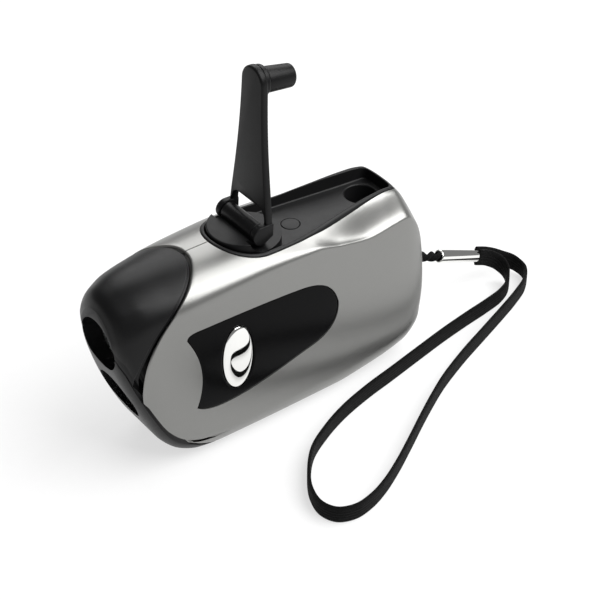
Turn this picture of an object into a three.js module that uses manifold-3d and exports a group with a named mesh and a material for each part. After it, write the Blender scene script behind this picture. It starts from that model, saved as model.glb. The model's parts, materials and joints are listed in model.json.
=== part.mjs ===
// Hand-cranked dynamo flashlight with two lamps, a folding crank on top and a wrist strap.
// Millimetres. X is the width, -Y is the lamp end, +Z is up, and the origin is under the body's centre.
import * as THREE from 'three';
import { mergeVertices } from 'three/addons/utils/BufferGeometryUtils.js';
import Module from 'manifold-3d';

const wasm = await Module();
wasm.setup();

// Body
const LENGTH = 111;
const WIDTH = 35;
const HEIGHT = 64;
const WALL = 2.1;
const GAP = 0.3;
const OVERRUN = 8;
const CORNER_REACH = 7;
const CORNER_RISE = 9;
const NOSE_Y = -LENGTH / 2;
const TAIL_Y = LENGTH / 2;

// Front edge of the silver cheeks, an ellipse seen from the side
const CHEEK_Y = -5.8;
const CHEEK_Z = 33;
const CHEEK_REACH = 43.7;
const CHEEK_RISE = 34.5;
const GROOVE_WIDTH = 1.8;
const GROOVE_RISE = 0.1;
const GROOVE_DEPTH = 1;
const SPIGOT_LENGTH = 4;
const SPIGOT_WALL = 1.2;

// Lamps
const LAMP_RADIUS = 8.4;
const LAMP_UPPER_Z = 45;
const LAMP_LOWER_Z = 24;
const LENS_THICKNESS = 1.2;
const LENS_LEDGE = 0.6;
const LAMP_WALL = 1.3;
const UPPER_RECESS = 6.5;
const LOWER_RECESS = 13;
const REFLECTOR_DEPTH = 10.5;
const REFLECTOR_WALL = 0.8;
const LED_RADIUS = 2.5;
const LED_LENGTH = 6;
const LED_FLANGE_RADIUS = 2.9;
const LED_FLANGE_THICKNESS = 1;
const LEG_SPACING = 2.54;
const LEG_THICKNESS = 0.5;
const LED_BOARD_WIDTH = 19;
const LED_BOARD_HEIGHT = 40;
const BOARD_THICKNESS = 1.2;

// Side panels and the switch
const PANEL_FRONT_Y = -35.5;
const PANEL_REAR_Y = 17.3;
const PANEL_LOW_Z = 18.6;
const PANEL_TOP_Z = 48.6;
const PANEL_SINK = 0.2;
const PANEL_THICKNESS = 0.8;
const BUTTON_FLANGE_SPACE = 0.525;
const BUTTON_Y = -19;
const BUTTON_Z = 33.3;
const BUTTON_WIDTH = 10.6;
const BUTTON_HEIGHT = 22;
const BUTTON_DOME = 1.6;
const BUTTON_PROUD = 0.7;
const BUTTON_FLANGE = 1.2;
const BUTTON_FLANGE_THICKNESS = 1.2;
const BUTTON_TRAVEL = 1.5;
const SWITCH_SIZE = 8;
const SWITCH_DEPTH = 5;
const PLUNGER_RADIUS = 1.6;
const CIRCUIT_FRONT_Y = -24.5;
const CIRCUIT_REAR_Y = -3;
const CIRCUIT_LOW_Z = 21.5;
const CIRCUIT_TOP_Z = 40.4;

// Crank
const DISC_Y = -4.3;
const DISC_RADIUS = 11;
const DISC_LOW_Z = 58.3;
const DISC_TOP_Z = 64.8;
const HINGE_OFFSET = 0.3;
const HINGE_Z = 65.8;
const BARREL_RADIUS = 2.8;
const BARREL_HALF = 7.2;
const EAR_RADIUS = 3;
const EAR_THICKNESS = 2.1;
const PIN_RADIUS = 1;
const ARM_LENGTH = 44.7;
const ARM_THICKNESS = 2.4;
const ARM_TIP_RADIUS = 5;
const ARM_SETBACK = 2.8;
const ARM_FOOT = 1;
const ARM_LEAN = THREE.MathUtils.degToRad(3);
const ARM_EDGE = 0.4;
const WINDOW_HEIGHT = 9;
const WINDOW_SHOULDER = 4.6;
const WINDOW_TOP_HALF = 4.4;
const BOSS_THICKNESS = 1.1;
const KNOB_RADIUS = 3.55;
const KNOB_LENGTH = 9.6;
const KNOB_ROUND = 0.7;
const KNOB_TILT = THREE.MathUtils.degToRad(7);
const KNOB_PIN_RADIUS = 1.2;
const KNOB_PIN_BARB = 0.4;
const HUB_RADIUS = 3.7;
const BUSH_WALL = 1.2;
const BUSH_FLANGE = 1;

// Tray
const TRAY_ROUND = 12.6;
const TRAY_REAR_WIDTH = 15.4;
const TRAY_CORNER = 2.2;
const TRAY_FLOOR_Z = 57.7;
const TRAY_FLOOR = 1.6;
const TRAY_LIP = 1.2;
const TRAY_PROUD = 0.3;
const POCKET_RADIUS = 4.9;
const POCKET_WALL = 1.2;
const POCKET_DEPTH = 7.4;
const PLUG_RADIUS = 2.8;
const PLUG_THICKNESS = 1;
const PLUG_SINK = 0.2;

// Gear train: each wheel drives the next pinion
const DRIVE_MODULE = 0.8;
const TRAIN_MODULE = 0.6;
const DRIVE_TEETH = 32;
const WHEEL_TEETH = 36;
const PINION_TEETH = 10;
const TOOTH_SHARE = 0.42;
const WHEEL_FOOT_SHARE = 1;
const PINION_FOOT_SHARE = 0.85;
const ADDENDUM_SHARE = 0.8;
const DEDENDUM_SHARE = 1.1;
const PRESSURE_ANGLE = THREE.MathUtils.degToRad(20);
const WHEEL_THICKNESS = 2.2;
const DRIVE_THICKNESS = 2.8;
const FACE_OVERLAP = 0.4;
const WHEEL_CLEARANCE = 1.1;
const AXLE_RADIUS = 1;
const AXLE_SEAT = 1.5;
const AXLE_BOSS_WALL = 1.2;
const PLATE_THICKNESS = 1.4;
const PLATE_HALF = 13;
const PLATE_MARGIN = 2.4;
const POST_RADIUS = 1.9;
const POST_X = 7.6;
const POST_SETBACK = 0.8;

// Generator
const MAGNET_RADIUS = 7;
const MAGNET_HEIGHT = 6;
const AIR_GAP = 0.5;
const POLE_REACH_SHARE = 1 / 3;
const POLE_WIDTH = 3;
const CORE_HEIGHT = 6;
const CORE_BAR = 4;
const COIL_WALL = 3;
const COIL_HALF = 5.2;
const COIL_TO_MAGNET = 5;
const BRACKET_THICKNESS = 1;
const BRACKET_LENGTH = 9;

// Cells
const CELL_RADIUS = 7.75;
const CELL_LENGTH = 6;
const CELL_COUNT = 3;
const CELLS_FRONT_Y = -11;
const CRADLE_WALL = 1.2;
const CRADLE_HEIGHT = 6.5;
const CONTACT_THICKNESS = 0.4;
const CONTACT_WIDTH = 6;

// Screws
const SCREW_RADIUS = 1.25;
const SCREW_HEAD_RADIUS = 2.4;
const SCREW_HEAD_HEIGHT = 1.5;
const SCREW_WALL = 1.4;
const SCREW_SEAT_X = -8;
const SCREW_REACH = 7;
const WASHER_RADIUS = 4.2;
const WASHER_THICKNESS = 0.5;
const CRANK_SCREW_LENGTH = 9;
const POST_SCREW_LENGTH = 6;
const RIB_THICKNESS = 2;
const RIB_DEPTH = 1.3;

// Strap
const STRAP_Z = 27;
const STRAP_PIN_INSET = 6.5;
const STRAP_PIN_RADIUS = 1.25;
const STRAP_PIN_HALF = 7;
const STRAP_HOLE_HALF = 2.5;
const ANCHOR_WALL = 1.3;
const CORD_DIAMETER = 3.4;
const RIBBON_WIDTH = 5.8;
const RIBBON_THICKNESS = 1.2;
const FERRULE_RADIUS = 2.1;
const FERRULE_ROUND = 0.4;
const CORD_STEPS = 10;
const RIBBON_STEPS = 72;

// Facets: sides of a full circle
const FINE = 28;
const MEDIUM = 18;
const COARSE = 10;
// How far a facet may move when flat neighbours are joined
const FACET_TOLERANCE = 0.08;

const HINGE_Y = DISC_Y - HINGE_OFFSET;
// The tilted knob swings into its pocket about its own middle.
const KNOB_MIDDLE = ARM_SETBACK + ARM_THICKNESS / 2 + BOSS_THICKNESS + KNOB_LENGTH / 2;
const POCKET_Y = HINGE_Y + ARM_LENGTH - KNOB_MIDDLE * Math.sin(KNOB_TILT);
const TRAY_REAR_Y = HINGE_Y + ARM_LENGTH + ARM_TIP_RADIUS + GAP + TRAY_LIP;
const DISC_LEDGE_Z = HINGE_Z - ARM_SETBACK - ARM_THICKNESS / 2 - GAP;

const silver = { color: 0xc9c9c6, roughness: 0.32, metalness: 0.6 };
const blackSatin = { color: 0x1d1d1f, roughness: 0.45, metalness: 0 };
const blackGloss = { color: 0x131315, roughness: 0.22, metalness: 0 };
const chrome = { color: 0xe6e6e4, roughness: 0.06, metalness: 1 };
const steel = { color: 0xb4b6b8, roughness: 0.3, metalness: 1 };
const brass = { color: 0xc6a257, roughness: 0.35, metalness: 1 };
const clear = { color: 0xf2f5f6, roughness: 0.05, metalness: 0 };
const whitePlastic = { color: 0xe8e6dd, roughness: 0.5, metalness: 0 };
const greenBoard = { color: 0x2c6b3f, roughness: 0.5, metalness: 0 };
const copper = { color: 0xb56a3a, roughness: 0.4, metalness: 1 };
const darkMagnet = { color: 0x3b3b3d, roughness: 0.6, metalness: 0.3 };
const webbing = { color: 0x171717, roughness: 0.9, metalness: 0 };

// Geometry helpers

// A geometry drawn along +Z, turned so that its Z runs along the given axis.
const turned = {
  x: new THREE.Matrix4().makeBasis(
    new THREE.Vector3(0, 1, 0), new THREE.Vector3(0, 0, 1), new THREE.Vector3(1, 0, 0)),
  y: new THREE.Matrix4().makeBasis(
    new THREE.Vector3(0, 0, 1), new THREE.Vector3(1, 0, 0), new THREE.Vector3(0, 1, 0)),
  z: new THREE.Matrix4(),
};

// Closed geometry as a solid that can be joined and cut.
function solid(geometry) {
  const plain = geometry.clone();
  plain.deleteAttribute('normal');
  plain.deleteAttribute('uv');
  const merged = mergeVertices(plain);
  return new wasm.Manifold(new wasm.Mesh({
    numProp: 3,
    vertProperties: merged.attributes.position.array,
    triVerts: new Uint32Array(merged.index.array),
  }));
}

// A solid back as geometry, with flat neighbours joined and any stray sliver of a cut left out.
function geometryOf(shape) {
  const pieces = shape.asOriginal().simplify(FACET_TOLERANCE).decompose();
  const mesh = pieces.sort((a, b) => b.volume() - a.volume())[0].getMesh();
  const geometry = new THREE.BufferGeometry();
  geometry.setAttribute('position', new THREE.BufferAttribute(mesh.vertProperties, 3));
  geometry.setIndex(new THREE.BufferAttribute(mesh.triVerts, 1));
  geometry.computeVertexNormals();
  return geometry;
}

// Box between two corners.
function block(low, high) {
  const size = high.map((value, i) => value - low[i]);
  const box = new THREE.BoxGeometry(...size);
  box.translate(...low.map((value, i) => value + size[i] / 2));
  return solid(box);
}

// Shape in the two axes after the given one (Y,Z for x; Z,X for y; X,Y for z), extruded from low to high.
function prism(shape, axis, from, to, curveSegments = 8) {
  const geometry = new THREE.ExtrudeGeometry(shape, { depth: to - from, bevelEnabled: false, curveSegments });
  geometry.translate(0, 0, from);
  geometry.applyMatrix4(turned[axis]);
  return solid(geometry);
}

// Round bar along an axis between two places; at holds its centre in the other two axes, in prism's order.
function rod(radius, axis, from, to, at, sides = MEDIUM) {
  const geometry = new THREE.CylinderGeometry(radius, radius, to - from, sides);
  geometry.rotateX(Math.PI / 2);
  geometry.translate(at[0], at[1], (from + to) / 2);
  geometry.applyMatrix4(turned[axis]);
  return solid(geometry);
}

// Profile of [radius, place] pairs turned round an axis.
function lathe(profile, axis, at, sides = MEDIUM) {
  const points = profile.map(([radius, place]) => new THREE.Vector2(radius, place));
  const geometry = new THREE.LatheGeometry(points, sides);
  geometry.rotateX(Math.PI / 2);
  geometry.translate(at[0], at[1], 0);
  geometry.applyMatrix4(turned[axis]);
  const shape = solid(geometry);
  return shape.volume() < 0 ? solid(flipped(geometry)) : shape;
}

// The same geometry with its faces turned over.
function flipped(geometry) {
  const other = geometry.clone();
  const index = other.index.array;
  for (let i = 0; i < index.length; i += 3) [index[i], index[i + 1]] = [index[i + 1], index[i]];
  return other;
}

const union = (first, ...rest) => rest.reduce((sum, shape) => sum.add(shape), first);
const cut = (first, ...rest) => rest.reduce((left, shape) => left.subtract(shape), first);
const mirrorX = (shape) => shape.mirror([1, 0, 0]);

// Named sub-part, ready for the scene.
function piece(name, shape, finish, parent = flashlight) {
  const mesh = new THREE.Mesh(geometryOf(shape), new THREE.MeshStandardMaterial(finish));
  mesh.name = name;
  parent.add(mesh);
  return mesh;
}

// Body form

// Sections from nose to tail: place along the length, underside and crown height, half width,
// fall from the crown to the side crease (a share of the section's height) and how far the flank is scooped.
const sectionShares = [
  [-0.500, 0.690, 0.890, 0.46, 0.400, 0],
  [-0.490, 0.600, 0.930, 0.60, 0.300, 0],
  [-0.475, 0.510, 0.955, 0.70, 0.240, 0],
  [-0.450, 0.385, 0.970, 0.785, 0.186, 0],
  [-0.420, 0.260, 0.981, 0.84, 0.138, 0],
  [-0.380, 0.125, 0.989, 0.885, 0.110, 0],
  [-0.333, 0.045, 0.994, 0.925, 0.096, 0],
  [-0.280, 0.010, 0.998, 0.96, 0.085, 0],
  [-0.210, 0, 1, 0.98, 0.078, 0],
  [-0.100, 0, 1, 0.995, 0.072, 0],
  [0, 0, 0.990, 1, 0.068, 0],
  [0.090, 0, 0.975, 1, 0.064, 0.4],
  [0.180, 0, 0.969, 0.995, 0.098, 1],
  [0.280, 0.014, 0.969, 0.975, 0.133, 1],
  [0.360, 0.030, 0.967, 0.95, 0.122, 1],
  [0.405, 0.044, 0.962, 0.925, 0.119, 0.7],
  [0.424, 0.050, 0.944, 0.91, 0.120, 0.5],
  [0.440, 0.060, 0.908, 0.89, 0.120, 0.3],
  [0.460, 0.077, 0.840, 0.85, 0.123, 0],
  [0.4775, 0.097, 0.735, 0.80, 0.134, 0],
  [0.490, 0.133, 0.610, 0.72, 0.164, 0],
  [0.500, 0.200, 0.440, 0.60, 0.270, 0],
];
const CORNER_SHARE = 0.45;
const BULGE_SHARE = 0.06;
const BULGE_PEAK_SHARE = 0.45;
const crownShares = [0.9, 0.76, 0.56, 0.3, 0];
const CROWN_POWER = 2.2;
const CORNER_POINTS = 3;
const SIDE_POINTS = 3;

// Right half of one section, from the middle of the underside to the crown, as [x, z] points.
function halfSection([, low, high, wide, fall, scoop], inset) {
  const bottom = low * HEIGHT + inset;
  const crown = high * HEIGHT - inset;
  const half = wide * WIDTH / 2 - inset;
  const drop = fall * (crown - bottom);
  const crease = crown - drop;
  const rise = Math.min(CORNER_RISE, CORNER_SHARE * (crease - bottom));
  const reach = Math.min(CORNER_REACH, CORNER_SHARE * half);
  const bulge = BULGE_SHARE * half;
  const side = (t) => half - bulge * (t - BULGE_PEAK_SHARE) ** 2 / BULGE_PEAK_SHARE ** 2;
  const foot = side(0);
  const points = [[0, bottom], [foot - reach, bottom]];
  for (let i = 1; i <= CORNER_POINTS; i++) {
    const angle = Math.PI / 2 * i / CORNER_POINTS;
    points.push([foot - reach + reach * Math.sin(angle), bottom + rise - rise * Math.cos(angle)]);
  }
  for (let i = 1; i <= SIDE_POINTS; i++) {
    const t = i / SIDE_POINTS;
    points.push([side(t), bottom + rise + t * (crease - bottom - rise)]);
  }
  const edge = side(1);
  for (const u of crownShares) {
    const dome = u ** CROWN_POWER;
    const scooped = THREE.MathUtils.smoothstep(u, 1 / 2, 1);
    points.push([edge * u, crown - drop * THREE.MathUtils.lerp(dome, scooped, scoop)]);
  }
  return points;
}

// Rings of equal length skinned into a closed geometry with flat ends.
function skin(rings) {
  const count = rings[0].length;
  const positions = rings.flat().flatMap((point) => point.toArray());
  const index = [];
  for (let r = 0; r < rings.length - 1; r++) {
    for (let i = 0; i < count; i++) {
      const a = r * count + i;
      const b = r * count + (i + 1) % count;
      index.push(a, b, b + count, a, b + count, a + count);
    }
  }
  for (const [ring, side] of [[0, 1], [rings.length - 1, -1]]) {
    const centre = positions.length / 3;
    const middle = rings[ring].reduce((sum, point) => sum.add(point), new THREE.Vector3());
    positions.push(...middle.divideScalar(count).toArray());
    for (let i = 0; i < count; i++) {
      const a = ring * count + i;
      const b = ring * count + (i + 1) % count;
      index.push(centre, side > 0 ? b : a, side > 0 ? a : b);
    }
  }
  const geometry = new THREE.BufferGeometry();
  geometry.setAttribute('position', new THREE.Float32BufferAttribute(positions, 3));
  geometry.setIndex(index);
  return geometry;
}

// The body's outer form, drawn in by an inset all round; each inset is made once.
const bodyForms = new Map();
function bodyForm(inset) {
  if (!bodyForms.has(inset)) bodyForms.set(inset, makeBodyForm(inset));
  return bodyForms.get(inset);
}

function makeBodyForm(inset) {
  const rings = sectionShares.map((row) => {
    const y = row[0] * (LENGTH - 2 * inset);
    const half = halfSection(row, inset);
    const left = half.slice(1, -1).reverse().map(([x, z]) => [-x, z]);
    return [...half, ...left].map(([x, z]) => new THREE.Vector3(x, y, z));
  });
  const geometry = skin(rings);
  const shape = solid(geometry);
  return shape.volume() < 0 ? solid(flipped(geometry)) : shape;
}

// Everything behind the cheeks' curved front edge, grown forwards and upwards, or set back by a shift.
function cheekRegion(forwards, upwards = forwards, shift = 0) {
  const middle = CHEEK_Y + shift;
  const reach = CHEEK_REACH + forwards;
  const rise = CHEEK_RISE + upwards;
  const shape = new THREE.Shape();
  shape.moveTo(TAIL_Y + OVERRUN, HEIGHT + OVERRUN);
  shape.lineTo(middle, HEIGHT + OVERRUN);
  shape.absellipse(middle, CHEEK_Z, reach, rise, Math.PI / 2, Math.PI * 3 / 2, false);
  shape.lineTo(middle, -OVERRUN);
  shape.lineTo(TAIL_Y + OVERRUN, -OVERRUN);
  return prism(shape, 'x', -WIDTH, WIDTH, 24);
}

// Side panel outline, in shares of its length from the front and of its height from below
const PANEL_START_SHARES = [0.04, 0.08];
const PANEL_CURVE_SHARES = [
  [[0.13, 0.52], [0, 0.93]],
  [[0, 0.985], [0.06, 0.995]],
  [[0.35, 1.01], [0.62, 0.99], [0.76, 0.965]],
  [[0.88, 0.94], [0.97, 0.86], [1, 0.62]],
  [[1.005, 0.4], [0.93, 0.27], [0.81, 0.22]],
  [[0.62, 0.14], [0.42, 0], [0.2, 0]],
  [[0.09, 0], PANEL_START_SHARES],
];

// Side panel outline in Y and Z, grown by an offset.
function panelOutline(offset) {
  const place = ([along, up]) => [
    THREE.MathUtils.lerp(PANEL_FRONT_Y - offset, PANEL_REAR_Y + offset, along),
    THREE.MathUtils.lerp(PANEL_LOW_Z - offset, PANEL_TOP_Z + offset, up),
  ];
  const shape = new THREE.Shape();
  shape.moveTo(...place(PANEL_START_SHARES));
  PANEL_CURVE_SHARES.forEach((shares) => {
    const points = shares.flatMap(place);
    if (shares.length === 2) shape.quadraticCurveTo(...points);
    else shape.bezierCurveTo(...points);
  });
  return shape;
}

// Tray outline in X and Y, drawn in by an inset: a round front whose flanks run in to a blunt rear.
const TRAY_BULGE_SHARE = 0.3;
const TRAY_TAPER_SHARE = 0.7;
const TRAY_TAPER_WIDTH_SHARE = 1.16;
function trayOutline(inset) {
  const radius = TRAY_ROUND - inset;
  const rearHalf = TRAY_REAR_WIDTH / 2 - inset;
  const rear = TRAY_REAR_Y - inset;
  const corner = rear - TRAY_CORNER;
  const bulge = THREE.MathUtils.lerp(DISC_Y, corner, TRAY_BULGE_SHARE);
  const taper = THREE.MathUtils.lerp(DISC_Y, corner, TRAY_TAPER_SHARE);
  const taperHalf = rearHalf * TRAY_TAPER_WIDTH_SHARE;
  const shape = new THREE.Shape();
  shape.moveTo(-rearHalf + TRAY_CORNER, rear);
  shape.lineTo(rearHalf - TRAY_CORNER, rear);
  shape.quadraticCurveTo(rearHalf, rear, rearHalf, corner);
  shape.bezierCurveTo(taperHalf, taper, radius, bulge, radius, DISC_Y);
  shape.absarc(0, DISC_Y, radius, 0, Math.PI, true);
  shape.bezierCurveTo(-radius, bulge, -taperHalf, taper, -rearHalf, corner);
  shape.quadraticCurveTo(-rearHalf, rear, -rearHalf + TRAY_CORNER, rear);
  return shape;
}

// Ellipse in Y and Z round the switch button, grown by an offset.
function buttonOutline(offset) {
  const shape = new THREE.Shape();
  shape.absellipse(BUTTON_Y, BUTTON_Z, BUTTON_WIDTH / 2 + offset, BUTTON_HEIGHT / 2 + offset, 0, Math.PI * 2);
  return shape;
}

// Shared levels, worked out from the sizes above
const INNER_FLOOR_Z = WALL;
const TRAY_UNDER_Z = TRAY_FLOOR_Z - TRAY_FLOOR;
const DRIVE_TOP_Z = TRAY_UNDER_Z - GAP - BUSH_FLANGE - GAP;
const DRIVE_LOW_Z = DRIVE_TOP_Z - DRIVE_THICKNESS;
const WHEEL_1_TOP_Z = DRIVE_LOW_Z - WHEEL_CLEARANCE;
const WHEEL_1_LOW_Z = WHEEL_1_TOP_Z - WHEEL_THICKNESS;
const WHEEL_2_TOP_Z = WHEEL_1_LOW_Z - WHEEL_CLEARANCE;
const WHEEL_2_LOW_Z = WHEEL_2_TOP_Z - WHEEL_THICKNESS;
const PLATE_TOP_Z = WHEEL_2_LOW_Z - WHEEL_CLEARANCE - GAP;
const PLATE_LOW_Z = PLATE_TOP_Z - PLATE_THICKNESS;
const DRIVE_DISTANCE = DRIVE_MODULE * (DRIVE_TEETH + PINION_TEETH) / 2;
const TRAIN_DISTANCE = TRAIN_MODULE * (WHEEL_TEETH + PINION_TEETH) / 2;
const AXLE_1_Y = DISC_Y + DRIVE_DISTANCE;
const AXLE_2_Y = AXLE_1_Y + TRAIN_DISTANCE;
const ROTOR_Y = AXLE_2_Y + TRAIN_DISTANCE;
const BORE = AXLE_RADIUS + GAP;
const POCKET_FLOOR_Z = TRAY_FLOOR_Z - POCKET_DEPTH;
const POCKET_UNDER_Z = POCKET_FLOOR_Z - POCKET_WALL;
const POST_Y = POCKET_Y - POST_SETBACK;
const LENS_BORE = LAMP_RADIUS + LENS_LEDGE;
const UPPER_LENS_Y = NOSE_Y + UPPER_RECESS;
const LOWER_LENS_Y = NOSE_Y + LOWER_RECESS;
const LED_BOARD_Y = LOWER_LENS_Y + LENS_THICKNESS + REFLECTOR_DEPTH + LED_FLANGE_THICKNESS + GAP * 4;
const SWITCH_FLANGE_X = WIDTH / 2 - WALL - GAP - BUTTON_FLANGE_THICKNESS - BUTTON_FLANGE_SPACE;

const flashlight = new THREE.Group();
const outer = bodyForm(0);
const cavity = bodyForm(WALL);

// Casing halves
const screwPlaces = [[2, 41], [-24, 8.6], [15, 7], [44, 9.2]];

// Outsides of the two lamp tubes, grown by an offset.
const lamps = [[UPPER_LENS_Y, LAMP_UPPER_Z], [LOWER_LENS_Y, LAMP_LOWER_Z]];
function lampTubes(offset) {
  return lamps.map(([y, z]) => rod(LENS_BORE + GAP + LAMP_WALL + offset, 'y',
    NOSE_Y, y + LENS_THICKNESS + REFLECTOR_DEPTH + offset, [z, 0], FINE));
}

// Pads that fuse to a casing wall: kept inside the wall's middle, so that none shows outside.
const insideWall = bodyForm(WALL / 2);

function casingShell(side) {
  const inner = side > 0 ? GAP / 2 : -WIDTH;
  const halfSpace = block(
    [inner, NOSE_Y - OVERRUN, -OVERRUN], [side > 0 ? WIDTH : -GAP / 2, TAIL_Y + OVERRUN, HEIGHT + OVERRUN]);
  const recess = bodyForm(0).subtract(bodyForm(PANEL_SINK + PANEL_THICKNESS + GAP));
  const panelPrism = prism(panelOutline(GAP), 'x', side > 0 ? 0 : -WIDTH, side > 0 ? WIDTH : 0);
  const shell = cut(
    outer.subtract(cavity).intersect(cheekRegion(0)),
    prism(trayOutline(-GAP), 'z', TRAY_UNDER_Z - OVERRUN, HEIGHT + OVERRUN, 12),
    recess.intersect(panelPrism),
    block([-STRAP_HOLE_HALF, TAIL_Y - WALL - OVERRUN, STRAP_Z - STRAP_HOLE_HALF],
      [STRAP_HOLE_HALF, TAIL_Y + OVERRUN, STRAP_Z + STRAP_HOLE_HALF]),
  );
  return cut(shell.intersect(halfSpace), ...lampTubes(GAP));
}

// Ribs that hold the boards and the gear plate, drawn on the +X side.
function ribs() {
  const slotted = (low, high, slot) => block(low, high).intersect(insideWall).subtract(slot);
  const ledSlot = block(
    [-LED_BOARD_WIDTH / 2 - GAP, LED_BOARD_Y - GAP, 0],
    [LED_BOARD_WIDTH / 2 + GAP, LED_BOARD_Y + BOARD_THICKNESS + GAP, HEIGHT]);
  const plateSlot = block(
    [0, AXLE_1_Y - TRAIN_DISTANCE, PLATE_LOW_Z - GAP],
    [PLATE_HALF + GAP, TAIL_Y, PLATE_TOP_Z + GAP]);
  const atLed = (z) => slotted(
    [LED_BOARD_WIDTH / 2 - RIB_DEPTH, LED_BOARD_Y - GAP - RIB_DEPTH, z - RIB_THICKNESS / 2],
    [WIDTH, LED_BOARD_Y + BOARD_THICKNESS + GAP + RIB_DEPTH, z + RIB_THICKNESS / 2], ledSlot);
  const atPlate = (y) => slotted(
    [PLATE_HALF - RIB_DEPTH, y - RIB_THICKNESS / 2, PLATE_LOW_Z - GAP - RIB_THICKNESS],
    [WIDTH, y + RIB_THICKNESS / 2, PLATE_TOP_Z + GAP + RIB_THICKNESS], plateSlot);
  return union(
    atLed(LAMP_LOWER_Z), atLed(LAMP_UPPER_Z), atPlate(AXLE_1_Y), atPlate(AXLE_2_Y));
}

// Half of the strap pin's anchor: a lug on the rear wall with a socket for the pin, on the +X side.
function strapLug() {
  const y = TAIL_Y - STRAP_PIN_INSET;
  const reach = STRAP_PIN_RADIUS + GAP + ANCHOR_WALL;
  const lug = block(
    [STRAP_HOLE_HALF + GAP * 2, y - reach, STRAP_Z - reach],
    [STRAP_PIN_HALF + ANCHOR_WALL, TAIL_Y, STRAP_Z + reach]);
  const socket = rod(STRAP_PIN_RADIUS + GAP, 'x', 0, STRAP_PIN_HALF + GAP, [y, STRAP_Z], COARSE);
  return lug.intersect(insideWall).subtract(socket);
}

// Rib with a slot for the edge of the upright circuit board, on the right half only.
const circuitX = SWITCH_FLANGE_X - BUTTON_TRAVEL - SWITCH_DEPTH - BOARD_THICKNESS - GAP * 4;
function circuitRib(edge, inward) {
  const slot = block(
    [circuitX - GAP, CIRCUIT_FRONT_Y - GAP, CIRCUIT_LOW_Z],
    [circuitX + BOARD_THICKNESS + GAP, CIRCUIT_REAR_Y + GAP, CIRCUIT_TOP_Z + GAP]);
  const out = edge - inward * (GAP + RIB_THICKNESS);
  const into = edge + inward * RIB_DEPTH;
  const z = CIRCUIT_LOW_Z;
  return block(
    [circuitX - GAP - RIB_DEPTH, Math.min(out, into), z - RIB_THICKNESS / 2],
    [WIDTH, Math.max(out, into), z + RIB_THICKNESS / 2]).intersect(insideWall).subtract(slot);
}

function casingRight() {
  const pilot = SCREW_RADIUS + GAP;
  const bosses = screwPlaces.map((at) =>
    rod(pilot + SCREW_WALL, 'x', GAP / 2, WIDTH, at, COARSE).intersect(insideWall));
  const holes = screwPlaces.map((at) => rod(pilot, 'x', -OVERRUN, SCREW_REACH + GAP, at, COARSE));
  return cut(
    union(casingShell(1), ribs(), strapLug(), circuitRib(CIRCUIT_FRONT_Y, 1), circuitRib(CIRCUIT_REAR_Y, -1),
      ...bosses),
    ...holes,
    prism(buttonOutline(GAP), 'x', 0, WIDTH, 16),
  );
}

function casingLeft() {
  const clearance = SCREW_RADIUS + GAP;
  const well = SCREW_HEAD_RADIUS + GAP;
  const bosses = screwPlaces.map((at) =>
    rod(well + SCREW_WALL - GAP, 'x', -WIDTH, -GAP / 2, at, MEDIUM).intersect(insideWall));
  const holes = screwPlaces.flatMap((at) => [
    rod(clearance, 'x', -WIDTH, OVERRUN, at, COARSE), rod(well, 'x', -WIDTH, SCREW_SEAT_X, at, MEDIUM)]);
  return cut(union(casingShell(-1), mirrorX(ribs()), mirrorX(strapLug()), ...bosses), ...holes);
}

piece('casing_right', casingRight(), silver);
piece('casing_left', casingLeft(), silver);

// Screw along an axis: head below the seat, shank up to the reach.
function screw(axis, seat, reach, at) {
  return union(
    rod(SCREW_HEAD_RADIUS, axis, seat - SCREW_HEAD_HEIGHT, seat, at, COARSE),
    rod(SCREW_RADIUS, axis, seat - SCREW_HEAD_HEIGHT / 2, reach, at, COARSE),
  );
}

screwPlaces.forEach((at, i) => {
  piece(`casing_screw_${i + 1}`, screw('x', SCREW_SEAT_X - GAP, SCREW_REACH, at), steel);
});

// Front bezel: domed shell with two lamp tubes and a spigot that slides into the casing
function frontBezel() {
  const inside = bodyForm(WALL + GAP + SPIGOT_WALL);
  const nested = union(
    outer.subtract(cheekRegion(GAP + GROOVE_WIDTH, GROOVE_RISE)),
    bodyForm(GROOVE_DEPTH).subtract(cheekRegion(GAP)),
    bodyForm(WALL + GAP).subtract(cheekRegion(0, 0, SPIGOT_LENGTH)),
  ).subtract(inside);
  const tubes = lampTubes(0).map((tube) => tube.intersect(bodyForm(GROOVE_DEPTH)));
  const bores = lamps.flatMap(([y, z]) => [
    rod(LAMP_RADIUS, 'y', NOSE_Y - OVERRUN, y + OVERRUN, [z, 0], FINE),
    rod(LENS_BORE + GAP, 'y', y - GAP, y + LENS_THICKNESS + REFLECTOR_DEPTH + OVERRUN, [z, 0], FINE),
  ]);
  return cut(union(nested, ...tubes), ...bores);
}
piece('front_bezel', frontBezel(), blackSatin);

// Lamp: clear lens, bright reflector cup and a light-emitting diode in its throat
const LED_THROAT = LED_RADIUS + GAP;
const reflectorCurveShares = [0, 0.3, 0.6, 0.85, 1];
function reflector() {
  const mouth = LENS_BORE - REFLECTOR_WALL;
  const inside = reflectorCurveShares.map((t) => {
    const radius = THREE.MathUtils.lerp(mouth, LED_THROAT, t);
    return [radius, REFLECTOR_DEPTH * (1 - ((radius / mouth) ** 2 - (LED_THROAT / mouth) ** 2)
      / (1 - (LED_THROAT / mouth) ** 2))];
  });
  const outside = inside.map(([radius, y]) => [Math.min(radius + REFLECTOR_WALL, LENS_BORE), y]).reverse();
  return lathe([...inside, ...outside, inside[0]], 'y', [0, 0], MEDIUM);
}

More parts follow.
